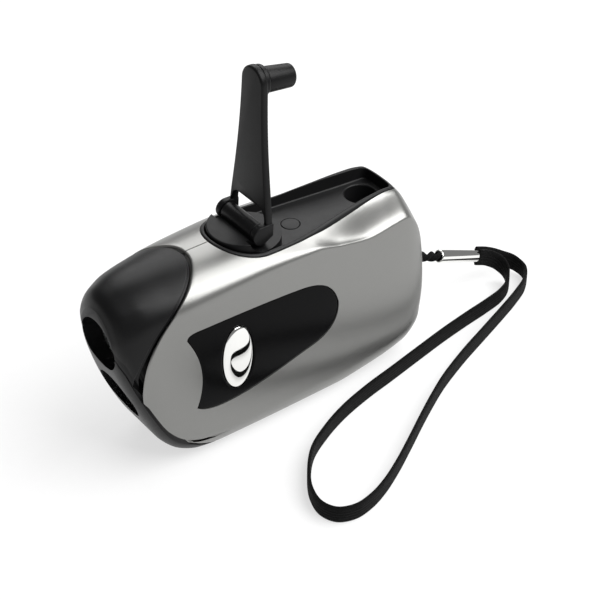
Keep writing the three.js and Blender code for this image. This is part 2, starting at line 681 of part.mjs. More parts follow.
function led(legLength) {
  const dome = LED_LENGTH - LED_RADIUS;
  const body = lathe([
    [0, -LED_LENGTH], [LED_RADIUS * Math.SQRT1_2, -dome - LED_RADIUS * Math.SQRT1_2], [LED_RADIUS, -dome],
    [LED_RADIUS, 0], [LED_FLANGE_RADIUS, 0],
    [LED_FLANGE_RADIUS, LED_FLANGE_THICKNESS], [0, LED_FLANGE_THICKNESS],
  ], 'y', [0, 0], MEDIUM);
  const legs = [-1, 1].map((side) => block(
    [side * LEG_SPACING / 2 - LEG_THICKNESS / 2, 0, -LEG_THICKNESS / 2],
    [side * LEG_SPACING / 2 + LEG_THICKNESS / 2, LED_FLANGE_THICKNESS + legLength, LEG_THICKNESS / 2]));
  return union(body, ...legs);
}

function lamp(name, lensY, z) {
  const group = new THREE.Group();
  group.position.set(0, lensY, z);
  flashlight.add(group);
  piece(`lens_${name}`, lathe([
    [0, 0], [LENS_BORE, 0], [LENS_BORE, LENS_THICKNESS - GAP], [0, LENS_THICKNESS - GAP],
  ], 'y', [0, 0], FINE), clear, group);
  const cup = piece(`reflector_${name}`, reflector(), chrome, group);
  cup.position.y = LENS_THICKNESS;
  const flangeY = LENS_THICKNESS + REFLECTOR_DEPTH + GAP;
  const legs = LED_BOARD_Y - GAP - lensY - flangeY - LED_FLANGE_THICKNESS;
  const diode = piece(`led_${name}`, led(legs), clear, group);
  diode.position.y = flangeY;
}
lamp('upper', UPPER_LENS_Y, LAMP_UPPER_Z);
lamp('lower', LOWER_LENS_Y, LAMP_LOWER_Z);

const LAMP_MIDDLE_Z = (LAMP_UPPER_Z + LAMP_LOWER_Z) / 2;
piece('led_board', block(
  [-LED_BOARD_WIDTH / 2, LED_BOARD_Y, LAMP_MIDDLE_Z - LED_BOARD_HEIGHT / 2],
  [LED_BOARD_WIDTH / 2, LED_BOARD_Y + BOARD_THICKNESS, LAMP_MIDDLE_Z + LED_BOARD_HEIGHT / 2]), greenBoard);

// Side panels follow the body's curve; the right one has the button's hole
function sidePanel(side) {
  const slab = bodyForm(PANEL_SINK).subtract(bodyForm(PANEL_SINK + PANEL_THICKNESS));
  const panel = slab.intersect(prism(panelOutline(0), 'x', side > 0 ? 0 : -WIDTH, side > 0 ? WIDTH : 0));
  return side > 0 ? panel.subtract(prism(buttonOutline(GAP), 'x', 0, WIDTH, 16)) : panel;
}
piece('side_panel_right', sidePanel(1), blackGloss);
piece('side_panel_left', sidePanel(-1), blackGloss);

// Switch button: an oval dome on a skirt, with a flange behind the casing wall
function switchButton() {
  const top = WIDTH / 2 + BUTTON_PROUD;
  const rim = top - BUTTON_DOME;
  const steps = 5;
  const profile = [[0, SWITCH_FLANGE_X], [1, SWITCH_FLANGE_X]];
  for (let i = 0; i <= steps; i++) {
    const angle = Math.PI / 2 * i / steps;
    profile.push([i === steps ? 0 : Math.cos(angle), rim + BUTTON_DOME * Math.sin(angle)]);
  }
  const points = profile.map(([radius, x]) => new THREE.Vector2(radius, x));
  const geometry = new THREE.LatheGeometry(points, FINE);
  geometry.rotateX(Math.PI / 2);
  geometry.scale(BUTTON_WIDTH / 2, BUTTON_HEIGHT / 2, 1);
  geometry.translate(BUTTON_Y, BUTTON_Z, 0);
  geometry.applyMatrix4(turned.x);
  const shape = solid(geometry);
  const dome = shape.volume() < 0 ? solid(flipped(geometry)) : shape;
  const flangeTop = SWITCH_FLANGE_X + BUTTON_FLANGE_THICKNESS;
  return dome.add(prism(buttonOutline(BUTTON_FLANGE), 'x', SWITCH_FLANGE_X, flangeTop, 10));
}
piece('switch_button', switchButton(), chrome);

// Circuit board with the push switch that the button presses
const switchFaceX = circuitX + BOARD_THICKNESS + GAP + SWITCH_DEPTH;
const plungerEndX = SWITCH_FLANGE_X - GAP;
const plungerRootX = circuitX + BOARD_THICKNESS + GAP + BUTTON_TRAVEL + GAP * 3;
piece('circuit_board', block(
  [circuitX, CIRCUIT_FRONT_Y, CIRCUIT_LOW_Z],
  [circuitX + BOARD_THICKNESS, CIRCUIT_REAR_Y, CIRCUIT_TOP_Z]), greenBoard);
piece('push_switch', cut(
  block([switchFaceX - SWITCH_DEPTH, BUTTON_Y - SWITCH_SIZE / 2, BUTTON_Z - SWITCH_SIZE / 2],
    [switchFaceX, BUTTON_Y + SWITCH_SIZE / 2, BUTTON_Z + SWITCH_SIZE / 2]),
  rod(PLUNGER_RADIUS + GAP, 'x', plungerRootX - BUTTON_TRAVEL - GAP, WIDTH, [BUTTON_Y, BUTTON_Z]),
), blackSatin);
piece('switch_plunger',
  rod(PLUNGER_RADIUS, 'x', plungerRootX, plungerEndX, [BUTTON_Y, BUTTON_Z]), whitePlastic);

// Tray: a tub in the top with a well for the disc, a pocket for the knob and bosses for the gear axles
function crankTray() {
  const rimForm = bodyForm(-TRAY_PROUD);
  const tub = prism(trayOutline(0), 'z', TRAY_UNDER_Z, HEIGHT + OVERRUN, 12).intersect(rimForm);
  const pocketAt = [0, POCKET_Y];
  const postScrewEnd = PLATE_LOW_Z + POST_SCREW_LENGTH + GAP;
  const plugLow = TRAY_FLOOR_Z - PLUG_THICKNESS - GAP + PLUG_SINK;
  const shape = cut(
    tub,
    prism(trayOutline(TRAY_LIP), 'z', TRAY_FLOOR_Z, HEIGHT + OVERRUN, 12),
    rod(HUB_RADIUS + GAP + BUSH_WALL + GAP, 'z', 0, HEIGHT, [0, DISC_Y]),
  );
  const boss = BORE + AXLE_BOSS_WALL;
  const bossOneLow = WHEEL_1_TOP_Z + DRIVE_THICKNESS + WHEEL_CLEARANCE + FACE_OVERLAP + GAP;
  const bossTwoLow = WHEEL_1_TOP_Z + FACE_OVERLAP + GAP;
  const post = (side) =>
    rod(POST_RADIUS, 'z', PLATE_TOP_Z + GAP, TRAY_UNDER_Z + GAP, [side * POST_X, POST_Y], COARSE);
  const arm = (side) => block(
    [side > 0 ? 0 : -POST_X, POST_Y - POST_RADIUS, TRAY_UNDER_Z],
    [side > 0 ? POST_X : 0, POST_Y + POST_RADIUS, TRAY_FLOOR_Z]);
  const joined = union(
    shape,
    rod(POCKET_RADIUS + POCKET_WALL, 'z', POCKET_UNDER_Z, TRAY_FLOOR_Z, pocketAt),
    rod(boss, 'z', bossOneLow, TRAY_FLOOR_Z, [0, AXLE_1_Y], MEDIUM),
    rod(boss, 'z', bossTwoLow, TRAY_FLOOR_Z, [0, AXLE_2_Y], COARSE),
    rod(boss, 'z', POCKET_UNDER_Z - GAP * 2, POCKET_FLOOR_Z, [0, ROTOR_Y], COARSE),
    post(1), post(-1), arm(1), arm(-1),
  );
  return cut(
    joined,
    rod(POCKET_RADIUS, 'z', POCKET_FLOOR_Z, HEIGHT, pocketAt),
    rod(PLUG_RADIUS + GAP, 'z', plugLow, HEIGHT, [0, AXLE_1_Y]),
    rod(BORE, 'z', 0, plugLow + GAP, [0, AXLE_1_Y], COARSE),
    rod(BORE, 'z', 0, bossTwoLow + AXLE_SEAT * 2, [0, AXLE_2_Y], COARSE),
    rod(BORE, 'z', 0, POCKET_UNDER_Z + POCKET_WALL / 2, [0, ROTOR_Y], COARSE),
    ...[-1, 1].map((side) =>
      rod(SCREW_RADIUS + GAP, 'z', 0, postScrewEnd, [side * POST_X, POST_Y], COARSE)),
  );
}
piece('crank_tray', crankTray(), blackSatin);
piece('tray_plug', rod(PLUG_RADIUS, 'z', 0, PLUG_THICKNESS, [0, 0]), blackSatin)
  .position.set(0, AXLE_1_Y, TRAY_FLOOR_Z + PLUG_SINK - PLUG_THICKNESS);

// Crank disc with the hinge barrel, notches for the arm's ears and a hub with a hexagonal end
function crankDisc() {
  const ledgeY = HINGE_Y + BARREL_RADIUS;
  const earClear = Math.hypot(ARM_SETBACK + ARM_THICKNESS / 2, ARM_FOOT) + GAP;
  const disc = cut(
    rod(DISC_RADIUS, 'z', DISC_LOW_Z, DISC_TOP_Z, [0, DISC_Y], FINE),
    block([-WIDTH, ledgeY, DISC_LEDGE_Z], [WIDTH, TAIL_Y, HEIGHT + OVERRUN]),
    ...[-1, 1].map((side) => {
      const [low, high] = side > 0 ? [BARREL_HALF, WIDTH] : [-WIDTH, -BARREL_HALF];
      return union(
        rod(earClear, 'x', low, high, [HINGE_Y, HINGE_Z]),
        block([low, HINGE_Y, DISC_LEDGE_Z], [high, TAIL_Y, HEIGHT + OVERRUN]));
    }),
  );
  const web = block(
    [-BARREL_HALF, HINGE_Y - BARREL_RADIUS, DISC_LEDGE_Z - GAP], [BARREL_HALF, ledgeY, HINGE_Z]);
  const joined = union(
    disc, web,
    rod(BARREL_RADIUS, 'x', -BARREL_HALF, BARREL_HALF, [HINGE_Y, HINGE_Z]),
    rod(HUB_RADIUS, 'z', DRIVE_TOP_Z, DISC_LOW_Z + GAP, [0, DISC_Y]),
    rod(HUB_RADIUS, 'z', DRIVE_LOW_Z + GAP, DRIVE_TOP_Z + GAP, [0, DISC_Y], 6),
  );
  return cut(
    joined,
    rod(PIN_RADIUS + GAP, 'x', -WIDTH, WIDTH, [HINGE_Y, HINGE_Z], COARSE),
    rod(SCREW_RADIUS + GAP, 'z', 0, DRIVE_LOW_Z + CRANK_SCREW_LENGTH, [0, DISC_Y], COARSE),
  );
}
piece('crank_disc', crankDisc(), blackSatin);

const bushInner = HUB_RADIUS + GAP;
const bushOuter = bushInner + BUSH_WALL;
piece('crank_bush', lathe([
  [bushInner, DRIVE_TOP_Z + GAP], [bushOuter + BUSH_FLANGE, DRIVE_TOP_Z + GAP],
  [bushOuter + BUSH_FLANGE, TRAY_UNDER_Z - GAP], [bushOuter, TRAY_UNDER_Z - GAP],
  [bushOuter, TRAY_FLOOR_Z], [bushInner, TRAY_FLOOR_Z], [bushInner, DRIVE_TOP_Z + GAP],
], 'z', [0, DISC_Y]), brass);

const washerTop = DRIVE_LOW_Z - GAP;
piece('crank_washer', cut(
  rod(WASHER_RADIUS, 'z', washerTop - WASHER_THICKNESS, washerTop, [0, DISC_Y]),
  rod(SCREW_RADIUS + GAP, 'z', 0, HEIGHT, [0, DISC_Y], COARSE)), steel);
const crankSeat = washerTop - WASHER_THICKNESS - GAP;
piece('crank_screw', screw('z', crankSeat, crankSeat + CRANK_SCREW_LENGTH, [0, DISC_Y]), steel);

piece('hinge_pin',
  rod(PIN_RADIUS, 'x', -BARREL_HALF - GAP - EAR_THICKNESS, BARREL_HALF + GAP + EAR_THICKNESS,
    [HINGE_Y, HINGE_Z], COARSE), steel);

// Folding arm, drawn upright about its hinge and leant back
const arm = new THREE.Group();
arm.position.set(0, HINGE_Y, HINGE_Z);
arm.rotation.x = -ARM_LEAN;
flashlight.add(arm);

const EAR_HALF = BARREL_HALF + GAP + EAR_THICKNESS;
const KNOB_BORE_SHARE = 0.75;
const PIN_BARB_SHARE = 0.6;
const PIN_END_SHARE = 0.75;
const ARM_FLARE_SHARE = 0.2;
const ARM_TAPER_SHARE = 0.5;
const ARM_FLARE_WIDTH_SHARE = 0.93;
const ARM_TAPER_WIDTH_SHARE = 1.1;

// Arm outline in Z and X: a fork at the hinge that tapers up to a round tip.
function armOutline(inset) {
  const ear = EAR_HALF - inset;
  const tip = ARM_TIP_RADIUS - inset;
  const flare = [ARM_LENGTH * ARM_FLARE_SHARE, ear * ARM_FLARE_WIDTH_SHARE];
  const taper = [ARM_LENGTH * ARM_TAPER_SHARE, tip * ARM_TAPER_WIDTH_SHARE];
  const window = BARREL_HALF + GAP + inset;
  const top = WINDOW_HEIGHT + inset;
  const shape = new THREE.Shape();
  shape.moveTo(-ARM_FOOT, ear);
  shape.bezierCurveTo(flare[0], flare[1], taper[0], taper[1], ARM_LENGTH, tip);
  shape.absarc(ARM_LENGTH, 0, tip, Math.PI / 2, -Math.PI / 2, true);
  shape.bezierCurveTo(taper[0], -taper[1], flare[0], -flare[1], -ARM_FOOT, -ear);
  shape.lineTo(-ARM_FOOT, -window);
  shape.lineTo(WINDOW_SHOULDER, -window);
  shape.quadraticCurveTo(top, -window, top, -WINDOW_TOP_HALF);
  shape.lineTo(top, WINDOW_TOP_HALF);
  shape.quadraticCurveTo(top, window, WINDOW_SHOULDER, window);
  shape.lineTo(-ARM_FOOT, window);
  return shape;
}

// Where the knob sits on the back of the arm's tip
const ARM_FRONT = ARM_SETBACK - ARM_THICKNESS / 2;
const ARM_BACK = ARM_SETBACK + ARM_THICKNESS / 2;
const toKnobSeat = (shape) =>
  shape.rotate([-THREE.MathUtils.radToDeg(KNOB_TILT), 0, 0]).translate([0, ARM_BACK, ARM_LENGTH]);
const knobBoreEnd = -ARM_THICKNESS * KNOB_BORE_SHARE;

function crankArm() {
  // Each ear spreads from the hinge pin back to the foot of the blade.
  const ears = [-1, 1].map((side) => {
    const [low, high] = [side * EAR_HALF, side * (EAR_HALF - EAR_THICKNESS)].sort((a, b) => a - b);
    return wasm.Manifold.hull([
      rod(EAR_RADIUS, 'x', low, high, [0, 0]),
      block([low, ARM_FRONT, -ARM_FOOT], [high, ARM_BACK, EAR_RADIUS]),
    ]);
  });
  const boss = lathe([
    [0, -BOSS_THICKNESS / 2], [ARM_TIP_RADIUS, -BOSS_THICKNESS / 2],
    [ARM_TIP_RADIUS, BOSS_THICKNESS - ARM_EDGE],
    [ARM_TIP_RADIUS - ARM_EDGE, BOSS_THICKNESS], [0, BOSS_THICKNESS]], 'y', [0, 0], FINE);
  return cut(
    union(
      prism(armOutline(0), 'y', ARM_FRONT + ARM_EDGE, ARM_BACK, 6),
      prism(armOutline(ARM_EDGE), 'y', ARM_FRONT, ARM_BACK, 6),
      toKnobSeat(boss),
      ...ears,
    ),
    rod(PIN_RADIUS + GAP, 'x', -WIDTH, WIDTH, [0, 0], COARSE),
    toKnobSeat(rod(KNOB_PIN_RADIUS + GAP, 'y', knobBoreEnd, OVERRUN, [0, 0], COARSE)),
  );
}
piece('crank_arm', crankArm(), blackSatin, arm);

// Knob on a barbed pin, tilted so that it clears the rim of its pocket as the arm folds
const knobSeat = new THREE.Group();
knobSeat.position.set(0, ARM_BACK, ARM_LENGTH);
knobSeat.rotation.x = -KNOB_TILT;
arm.add(knobSeat);

const knobFace = BOSS_THICKNESS + GAP;
const pinBarb = knobFace + KNOB_LENGTH * PIN_BARB_SHARE;
const pinEnd = knobFace + KNOB_LENGTH * PIN_END_SHARE;
function crankKnob() {
  const bore = KNOB_PIN_RADIUS + GAP;
  const groove = bore + KNOB_PIN_BARB;
  const end = knobFace + KNOB_LENGTH;
  const round = KNOB_ROUND * (1 - Math.SQRT1_2);
  return lathe([
    [bore, knobFace], [KNOB_RADIUS - KNOB_ROUND / 2, knobFace], [KNOB_RADIUS, knobFace + KNOB_ROUND / 2],
    [KNOB_RADIUS, end - KNOB_ROUND], [KNOB_RADIUS - round, end - round],
    [KNOB_RADIUS - KNOB_ROUND, end], [0, end], [0, pinEnd + GAP], [groove, pinEnd + GAP],
    [groove, pinBarb - GAP], [bore, pinBarb - GAP], [bore, knobFace],
  ], 'y', [0, 0], MEDIUM);
}
piece('crank_knob', crankKnob(), blackSatin, knobSeat);
piece('knob_pin', lathe([
  [0, knobBoreEnd + GAP], [KNOB_PIN_RADIUS, knobBoreEnd + GAP], [KNOB_PIN_RADIUS, pinBarb],
  [KNOB_PIN_RADIUS + KNOB_PIN_BARB, pinBarb], [KNOB_PIN_RADIUS, pinEnd], [0, pinEnd],
], 'y', [0, 0], COARSE), steel, knobSeat);

// Gears

// Half angle of a tooth at a radius: an involute above the base circle, straight below it.
function toothHalfAngle(radius, teeth, module) {
  const pitch = teeth * module / 2;
  const base = pitch * Math.cos(PRESSURE_ANGLE);
  const involute = (angle) => Math.tan(angle) - angle;
  const angle = Math.acos(Math.min(1, base / Math.max(radius, base)));
  return Math.PI / teeth * TOOTH_SHARE + involute(PRESSURE_ANGLE) - involute(angle);
}

// Gear with one tooth's middle on +X, between two heights.
function gear(teeth, module, footShare, from, to) {
  const pitch = teeth * module / 2;
  const tip = pitch + ADDENDUM_SHARE * module;
  const root = pitch - DEDENDUM_SHARE * module;
  const flank = [
    [root, toothHalfAngle(root, teeth, module) * footShare],
    [tip, toothHalfAngle(tip, teeth, module)],
  ];
  const points = [];
  for (let i = 0; i < teeth; i++) {
    const middle = i * 2 * Math.PI / teeth;
    const sides = [
      ...flank.map(([radius, half]) => [radius, middle - half]),
      ...flank.map(([radius, half]) => [radius, middle + half]).reverse(),
    ];
    points.push(...sides.map(([radius, angle]) =>
      new THREE.Vector2(radius * Math.cos(angle), radius * Math.sin(angle))));
  }
  return prism(new THREE.Shape(points), 'z', from, to);
}

// Turn of a pinion behind its wheel, so that a tooth gap faces the tooth on the line of centres.
function meshAngle(wheelTeeth, pinionTeeth) {
  return Math.PI * 3 / 2 - Math.PI / pinionTeeth + wheelTeeth / pinionTeeth * Math.PI / 2;
}

const driveGear = cut(
  gear(DRIVE_TEETH, DRIVE_MODULE, WHEEL_FOOT_SHARE, 0, DRIVE_THICKNESS),
  rod(HUB_RADIUS + GAP, 'z', -OVERRUN, DRIVE_THICKNESS + OVERRUN, [0, 0], 6));
piece('drive_gear', driveGear, whitePlastic).position.set(0, DISC_Y, DRIVE_LOW_Z);

// Wheel below and pinion above, on one bore; the pinion's turn against the wheel sets it in mesh at rest.
function compoundGear(pinionModule, pinionTop, turn) {
  const pinion = gear(PINION_TEETH, pinionModule, PINION_FOOT_SHARE, WHEEL_THICKNESS / 2, pinionTop)
    .rotate([0, 0, THREE.MathUtils.radToDeg(turn)]);
  return cut(
    gear(WHEEL_TEETH, TRAIN_MODULE, WHEEL_FOOT_SHARE, 0, WHEEL_THICKNESS).add(pinion),
    rod(BORE, 'z', -OVERRUN, pinionTop + OVERRUN, [0, 0], COARSE));
}
const PINION_1_HEIGHT = DRIVE_TOP_Z + FACE_OVERLAP - WHEEL_1_LOW_Z;
const PINION_2_HEIGHT = WHEEL_1_TOP_Z + FACE_OVERLAP - WHEEL_2_LOW_Z;
piece('compound_gear_1', compoundGear(DRIVE_MODULE, PINION_1_HEIGHT, meshAngle(DRIVE_TEETH, PINION_TEETH)),
  whitePlastic).position.set(0, AXLE_1_Y, WHEEL_1_LOW_Z);
piece('compound_gear_2', compoundGear(TRAIN_MODULE, PINION_2_HEIGHT, meshAngle(WHEEL_TEETH, PINION_TEETH)),
  whitePlastic).position.set(0, AXLE_2_Y, WHEEL_2_LOW_Z);

piece('gear_axle_1',
  rod(AXLE_RADIUS, 'z', PLATE_LOW_Z, TRAY_FLOOR_Z - PLUG_THICKNESS - GAP * 2, [0, AXLE_1_Y], COARSE), steel);
piece('gear_axle_2',
  rod(AXLE_RADIUS, 'z', PLATE_LOW_Z, WHEEL_1_TOP_Z + FACE_OVERLAP + AXLE_SEAT * 2, [0, AXLE_2_Y], COARSE),
  steel);

// Lower gear plate, held in the casing's ribs and screwed up into the tray's posts
const PLATE_FRONT_Y = AXLE_1_Y - BORE - PLATE_MARGIN;
const PLATE_REAR_Y = ROTOR_Y + BORE + PLATE_MARGIN;
piece('gear_plate', cut(
  block([-PLATE_HALF, PLATE_FRONT_Y, PLATE_LOW_Z], [PLATE_HALF, PLATE_REAR_Y, PLATE_TOP_Z]),
  ...[AXLE_1_Y, AXLE_2_Y, ROTOR_Y].map((y) => rod(BORE, 'z', 0, HEIGHT, [0, y], COARSE)),
  ...[-1, 1].map((side) => rod(SCREW_RADIUS + GAP, 'z', 0, HEIGHT, [side * POST_X, POST_Y], COARSE)),
), brass);
for (const [name, side] of [['right', 1], ['left', -1]]) {
  piece(`gear_plate_screw_${name}`,
    screw('z', PLATE_LOW_Z - GAP, PLATE_LOW_Z + POST_SCREW_LENGTH, [side * POST_X, POST_Y]), steel);
}

// Generator: a magnet on the pinion shaft, turning inside a laminated core with a coil on its bar
const CORE_TOP_Z = PLATE_LOW_Z - SCREW_HEAD_HEIGHT - GAP * 3;
const CORE_LOW_Z = CORE_TOP_Z - CORE_HEIGHT;
const CORE_MIDDLE_Z = (CORE_TOP_Z + CORE_LOW_Z) / 2;
const MAGNET_LOW_Z = CORE_MIDDLE_Z - MAGNET_HEIGHT / 2;
const SHAFT_LOW_Z = MAGNET_LOW_Z - BRACKET_THICKNESS - GAP * 2;
const CORE_HALF = MAGNET_RADIUS + AIR_GAP + POLE_WIDTH;
const CORE_REAR_Y = ROTOR_Y + MAGNET_RADIUS / 2;
const COIL_REAR_Y = ROTOR_Y - MAGNET_RADIUS - COIL_TO_MAGNET;
const POLE_REACH = MAGNET_RADIUS - POLE_WIDTH * POLE_REACH_SHARE;
const BAR_REAR_Y = COIL_REAR_Y - COIL_WALL;
const BAR_FRONT_Y = BAR_REAR_Y - CORE_BAR;
const rotorPinion = union(
  gear(PINION_TEETH, TRAIN_MODULE, PINION_FOOT_SHARE,
    WHEEL_2_LOW_Z - FACE_OVERLAP, WHEEL_2_TOP_Z + FACE_OVERLAP)
    .rotate([0, 0, THREE.MathUtils.radToDeg(meshAngle(WHEEL_TEETH, PINION_TEETH))]),
  rod(AXLE_RADIUS, 'z', SHAFT_LOW_Z, POCKET_UNDER_Z + POCKET_WALL / 2 - GAP, [0, 0], COARSE));
piece('rotor_pinion', rotorPinion, steel).position.set(0, ROTOR_Y, 0);
piece('rotor_magnet', cut(
  rod(MAGNET_RADIUS, 'z', MAGNET_LOW_Z, MAGNET_LOW_Z + MAGNET_HEIGHT, [0, 0], MEDIUM),
  rod(BORE, 'z', 0, HEIGHT, [0, 0], COARSE)), darkMagnet).position.set(0, ROTOR_Y, 0);

piece('stator_core', cut(
  block([-CORE_HALF, BAR_FRONT_Y, CORE_LOW_Z], [CORE_HALF, CORE_REAR_Y, CORE_TOP_Z]),
  block([-POLE_REACH, BAR_REAR_Y, 0], [POLE_REACH, TAIL_Y, HEIGHT]),
  rod(MAGNET_RADIUS + AIR_GAP, 'z', 0, HEIGHT, [0, ROTOR_Y]),
), steel);
piece('coil', cut(
  block([-COIL_HALF, BAR_FRONT_Y - COIL_WALL, CORE_LOW_Z - COIL_WALL],
    [COIL_HALF, COIL_REAR_Y, CORE_TOP_Z + SCREW_HEAD_HEIGHT]),
  block([-WIDTH, BAR_FRONT_Y - GAP, CORE_LOW_Z - GAP], [WIDTH, BAR_REAR_Y + GAP, CORE_TOP_Z + GAP]),
), copper);

// Bracket under the rotor, with its lower bearing, hung from the gear plate
const bracketInner = CORE_HALF + GAP;
const bracketOuter = bracketInner + BRACKET_THICKNESS;
const bracketLow = SHAFT_LOW_Z + GAP;
piece('rotor_bracket', cut(
  block([-bracketOuter, ROTOR_Y - BRACKET_LENGTH / 2, bracketLow],
    [bracketOuter, ROTOR_Y + BRACKET_LENGTH / 2, PLATE_LOW_Z - GAP]),
  block([-bracketInner, ROTOR_Y - BRACKET_LENGTH, bracketLow + BRACKET_THICKNESS],
    [bracketInner, ROTOR_Y + BRACKET_LENGTH, HEIGHT]),
  rod(BORE, 'z', 0, HEIGHT, [0, ROTOR_Y], COARSE)), steel);

// Rechargeable button cells in a cradle, with a contact strip at each end
const cellPitch = CELL_LENGTH + GAP;
const cradleLow = INNER_FLOOR_Z + GAP * 2;
const cellZ = cradleLow + CRADLE_WALL + GAP + CELL_RADIUS;
const cellsRearY = CELLS_FRONT_Y + CELL_COUNT * cellPitch - GAP;
for (let i = 0; i < CELL_COUNT; i++) {
  const front = CELLS_FRONT_Y + i * cellPitch;
  piece(`battery_cell_${i + 1}`, rod(CELL_RADIUS, 'y', front, front + CELL_LENGTH, [cellZ, 0]), steel);
}
const contactSpace = CONTACT_THICKNESS + GAP * 2;
const cradleHalf = CELL_RADIUS + GAP + CRADLE_WALL / 2;
piece('battery_cradle', cut(
  block([-cradleHalf, CELLS_FRONT_Y - contactSpace - CRADLE_WALL, cradleLow],
    [cradleHalf, cellsRearY + contactSpace + CRADLE_WALL, cradleLow + CRADLE_HEIGHT]),
  rod(CELL_RADIUS + GAP, 'y', CELLS_FRONT_Y - contactSpace, cellsRearY + contactSpace, [cellZ, 0]),
), blackSatin);
for (const [name, y] of [['front', CELLS_FRONT_Y - GAP - CONTACT_THICKNESS], ['rear', cellsRearY + GAP]]) {
  piece(`battery_contact_${name}`, block(
    [-CONTACT_WIDTH / 2, y, cradleLow + CRADLE_WALL * 2],
    [CONTACT_WIDTH / 2, y + CONTACT_THICKNESS, cellZ + CELL_RADIUS / 2]), brass);
}

// Wrist strap

piece('strap_pin', rod(STRAP_PIN_RADIUS, 'x', -STRAP_PIN_HALF, STRAP_PIN_HALF,
  [TAIL_Y - STRAP_PIN_INSET, STRAP_Z], COARSE), steel);

// Route of the doubled cord, from the pin to the sleeve.
const cordRoute = [
  [0, 50.6, 27], [0, 54, 26.9], [0, 57.5, 26.1], [0, 62.1, 23.9], [0, 67, 21.8], [0, 71.8, 19.8],
];
// Route of the ribbon: out of the sleeve, round on the table beside the body and back to the sleeve.
const ribbonRoute = [
  [-1, 88.9, 12.5], [-1, 94, 10.2], [-0.4, 100, 6.6], [2.2, 104.4, 4.2], [7, 105, 3.1], [12, 100.4, 3.1],
  [15.6, 93.4, 3.1], [18.8, 85.5, 3.1], [24, 71.6, 3.1], [28.8, 58.8, 3.1],
  [34.5, 45.8, 3.1], [39.7, 36.3, 3.1],
  [44.6, 28.1, 3.1], [50.5, 18.6, 3.1], [55.8, 9.7, 3.1], [60, 1.5, 3.1], [62.4, -5.4, 3.1], [63, -11.6, 3.1],
  [60.8, -16.6, 3.1], [56, -18.6, 3.1], [49.6, -17.2, 3.1], [42.9, -13, 3.1], [36, -6.4, 3.1], [31, 2.4, 3.1],
  [27, 12.3, 3.1], [23.9, 24, 3.1], [21.8, 35, 3.1], [19, 49, 3.1], [16.6, 61.4, 3.1], [14.8, 73, 3.1],
  [13.6, 82, 3.1], [12, 90, 3.1], [9.2, 95.4, 3.3], [5.8, 97.8, 5], [2.8, 96.8, 7.8], [1.3, 93.4, 10.4],
  [1, 88.9, 12.5],
];

// Tube of a flat or round section along a route of points.
function tube(route, steps, across, thick) {
  const points = route.map((point) => new THREE.Vector3(...point));
  const curve = new THREE.CatmullRomCurve3(points, false, 'centripetal');
  const shape = new THREE.Shape();
  const [a, b] = [thick / 2, across / 2];
  const bevel = Math.min(a, b) * (2 - Math.SQRT2);
  shape.moveTo(a, b - bevel);
  shape.lineTo(a - bevel, b);
  shape.lineTo(bevel - a, b);
  shape.lineTo(-a, b - bevel);
  shape.lineTo(-a, bevel - b);
  shape.lineTo(bevel - a, -b);
  shape.lineTo(a - bevel, -b);
  shape.lineTo(a, bevel - b);
  return solid(new THREE.ExtrudeGeometry(shape, { steps, extrudePath: curve, bevelEnabled: false }));
}
piece('strap_cord', tube(cordRoute, CORD_STEPS, CORD_DIAMETER, CORD_DIAMETER), webbing);
piece('strap_loop', tube(ribbonRoute, RIBBON_STEPS, RIBBON_WIDTH, RIBBON_THICKNESS), webbing);

// Metal sleeve that joins cord and ribbon, seated between their ends
const sleeveStart = new THREE.Vector3(...cordRoute.at(-1));
const ribbonStart = new THREE.Vector3(0, ribbonRoute[0][1], ribbonRoute[0][2]);
const sleeveLength = sleeveStart.distanceTo(ribbonStart) - GAP * 2;
const sleeve = piece('strap_ferrule', lathe([
  [0, 0], [FERRULE_RADIUS - FERRULE_ROUND, 0], [FERRULE_RADIUS, FERRULE_ROUND],
  [FERRULE_RADIUS, sleeveLength - FERRULE_ROUND],
  [FERRULE_RADIUS - FERRULE_ROUND, sleeveLength], [0, sleeveLength],
], 'z', [0, 0]), chrome);
const sleeveDirection = ribbonStart.clone().sub(sleeveStart).normalize();
sleeve.quaternion.setFromUnitVectors(new THREE.Vector3(0, 0, 1), sleeveDirection);
sleeve.position.copy(sleeveStart).addScaledVector(sleeveDirection, GAP);

export default flashlight;
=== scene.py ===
"""Looks of the hand-cranked flashlight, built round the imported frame. Lengths here are millimetres."""
import json
import math

import bpy
import bmesh
import numpy as np
from mathutils import Matrix, Vector
from mathutils.geometry import delaunay_2d_cdt


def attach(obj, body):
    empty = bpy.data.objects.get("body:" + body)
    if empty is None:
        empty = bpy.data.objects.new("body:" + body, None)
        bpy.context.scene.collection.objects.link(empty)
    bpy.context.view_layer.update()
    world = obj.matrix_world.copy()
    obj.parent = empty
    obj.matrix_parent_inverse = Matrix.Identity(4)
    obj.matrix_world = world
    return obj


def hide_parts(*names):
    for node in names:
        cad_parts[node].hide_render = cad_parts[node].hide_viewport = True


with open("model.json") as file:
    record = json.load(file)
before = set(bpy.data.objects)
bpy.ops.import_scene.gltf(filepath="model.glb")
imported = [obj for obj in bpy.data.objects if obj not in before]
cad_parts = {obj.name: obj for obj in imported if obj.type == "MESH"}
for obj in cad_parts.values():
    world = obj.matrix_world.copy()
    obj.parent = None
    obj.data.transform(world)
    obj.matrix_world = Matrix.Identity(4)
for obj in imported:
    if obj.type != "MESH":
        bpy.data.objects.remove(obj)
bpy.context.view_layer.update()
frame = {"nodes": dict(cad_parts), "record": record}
nodes = frame["nodes"]
MM = 0.001
TURN = 2 * math.pi
QUARTER = math.pi / 2
FIT = 0.3

